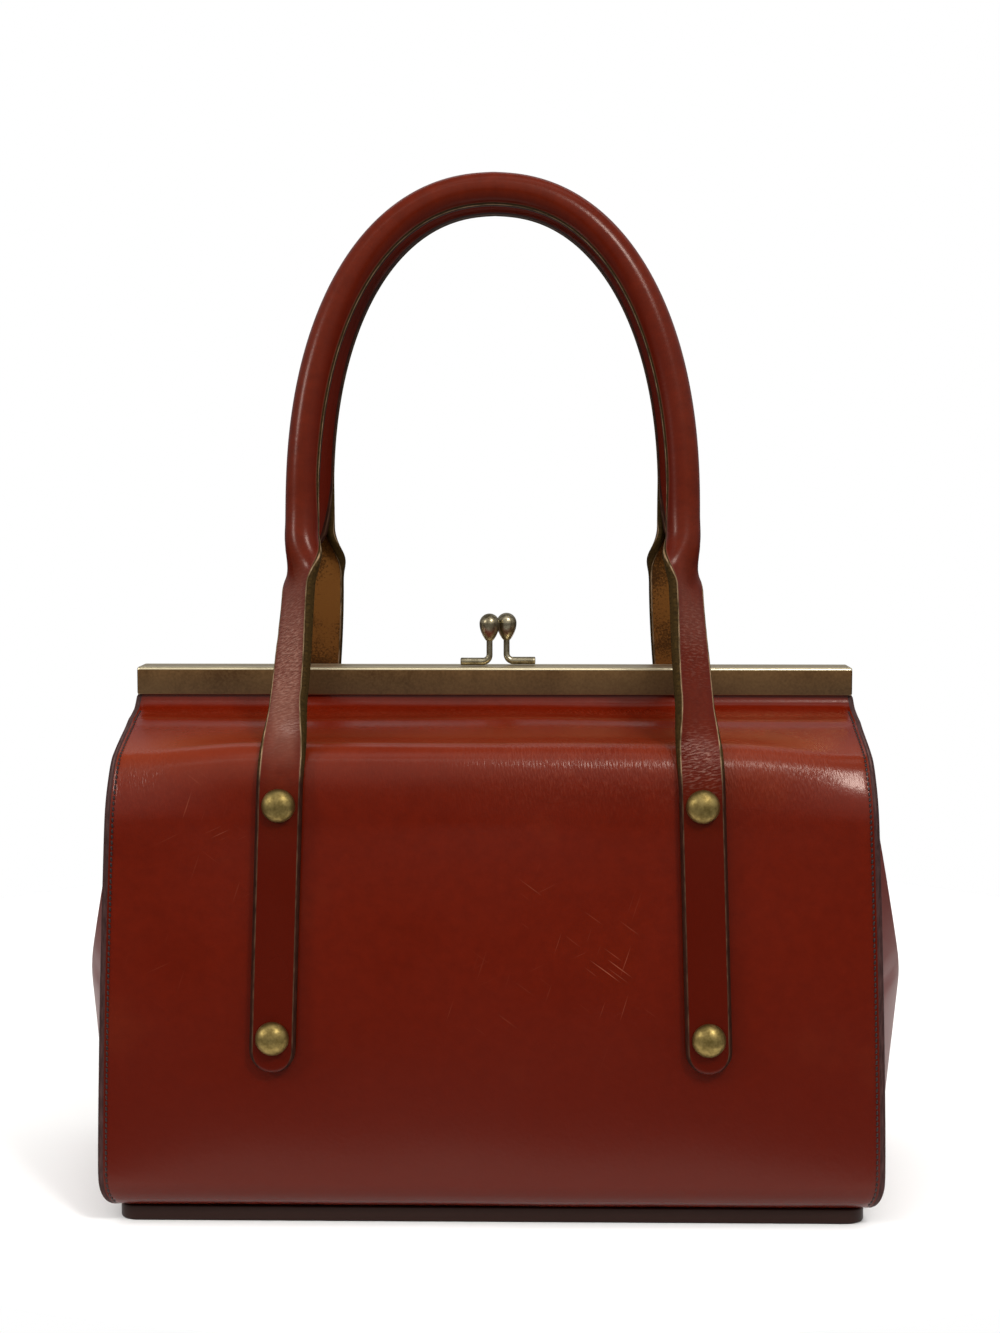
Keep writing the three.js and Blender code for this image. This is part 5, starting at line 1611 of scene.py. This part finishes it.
class BAG_OT_studs(bpy.types.Operator):
    """Domed studs that hold the straps"""

    bl_idname = "bag.studs"
    bl_label = "Studs"

    def execute(self, context):
        bag, side, finish = bench(context)
        seat = 2 * bag.seat_gap + bag.strap_thickness - bag.stud_bite
        for half in HALVES:
            for way in SIDES.values():
                name = "left" if way * HALVES[half] < 0 else "right"
                for level, up in (("lower", 0.0), ("upper", bag.stud_spacing)):
                    lift = strap_lift(bag, side, way, up)
                    place = strap_frame(bag, side, way) @ Matrix.Translation((0, up, seat + lift))
                    node = f"stud_{half}_{name}_{level}"
                    dome = turned([stud_dome(bag, place)], half)
                    made = piece(f"{node}_dome", dome, [finish.antique_stud_brass])
                    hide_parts(node)
                    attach(made, "bag_body")
        return {"FINISHED"}


class BAG_OT_inner_pieces(bpy.types.Operator):
    """Finishes for the CAD pieces that stay inside the bag"""

    bl_idname = "bag.inner_pieces"
    bl_label = "Inner pieces"

    def execute(self, context):
        finish = finishes(context)
        kinds = {
            "base_board": finish.grey_board,
            "packing": finish.cotton_cord,
            "core": finish.cotton_cord,
            "stud_back": finish.antique_stud_brass,
        }
        for name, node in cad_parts.items():
            for kind, look in kinds.items():
                if kind in name:
                    node.data.materials.clear()
                    node.data.materials.append(look)
        return {"FINISHED"}


class BAG_OT_stage(bpy.types.Operator):
    """Pale floor, soft studio light and the camera"""

    bl_idname = "bag.stage"
    bl_label = "Stage"

    def execute(self, context):
        scene = context.scene
        floor = piece("floor", [floor_disc()], [finishes(context).white_paper])
        studio_walls(scene)
        studio_lights(scene)
        camera = bpy.data.cameras.new("camera")
        camera.lens = CAMERA_LENS
        camera.sensor_width = CAMERA_SENSOR
        across, back = math.sin(CAMERA_AZIMUTH), math.cos(CAMERA_AZIMUTH)
        place = (CAMERA_DISTANCE * across, -CAMERA_DISTANCE * back, CAMERA_HEIGHT)
        aim = (math.pi / 2 - CAMERA_TILT, 0, CAMERA_AZIMUTH - CAMERA_PAN)
        scene.camera = placed(scene, "camera", camera, place, aim)
        scene.view_settings.view_transform = "Standard"
        return {"FINISHED"}


class BAG_PT_panel(bpy.types.Panel):
    """Lists the steps that build the bag"""

    bl_label = "Frame Bag"
    bl_idname = "BAG_PT_panel"
    bl_space_type = "VIEW_3D"
    bl_region_type = "UI"
    bl_category = "Frame Bag"

    def draw(self, context):
        for operator in OPERATORS:
            self.layout.operator(operator.bl_idname)


OPERATORS = (
    BAG_OT_sheets,
    BAG_OT_stitching,
    BAG_OT_gussets,
    BAG_OT_base,
    BAG_OT_lining,
    BAG_OT_frame,
    BAG_OT_clasp,
    BAG_OT_handles,
    BAG_OT_studs,
    BAG_OT_inner_pieces,
    BAG_OT_stage,
)
CLASSES = (BagSizes, BagColours, *OPERATORS, BAG_PT_panel)


def register():
    for cls in CLASSES:
        bpy.utils.register_class(cls)
    bpy.types.Scene.bag_sizes = PointerProperty(type=BagSizes)
    bpy.types.Scene.bag_colours = PointerProperty(type=BagColours)


def unregister():
    del bpy.types.Scene.bag_colours
    del bpy.types.Scene.bag_sizes
    for cls in reversed(CLASSES):
        bpy.utils.unregister_class(cls)


def main():
    register()
    for operator in OPERATORS:
        group, name = operator.bl_idname.split(".")
        getattr(getattr(bpy.ops, group), name)()


if __name__ == "__main__":
    main()
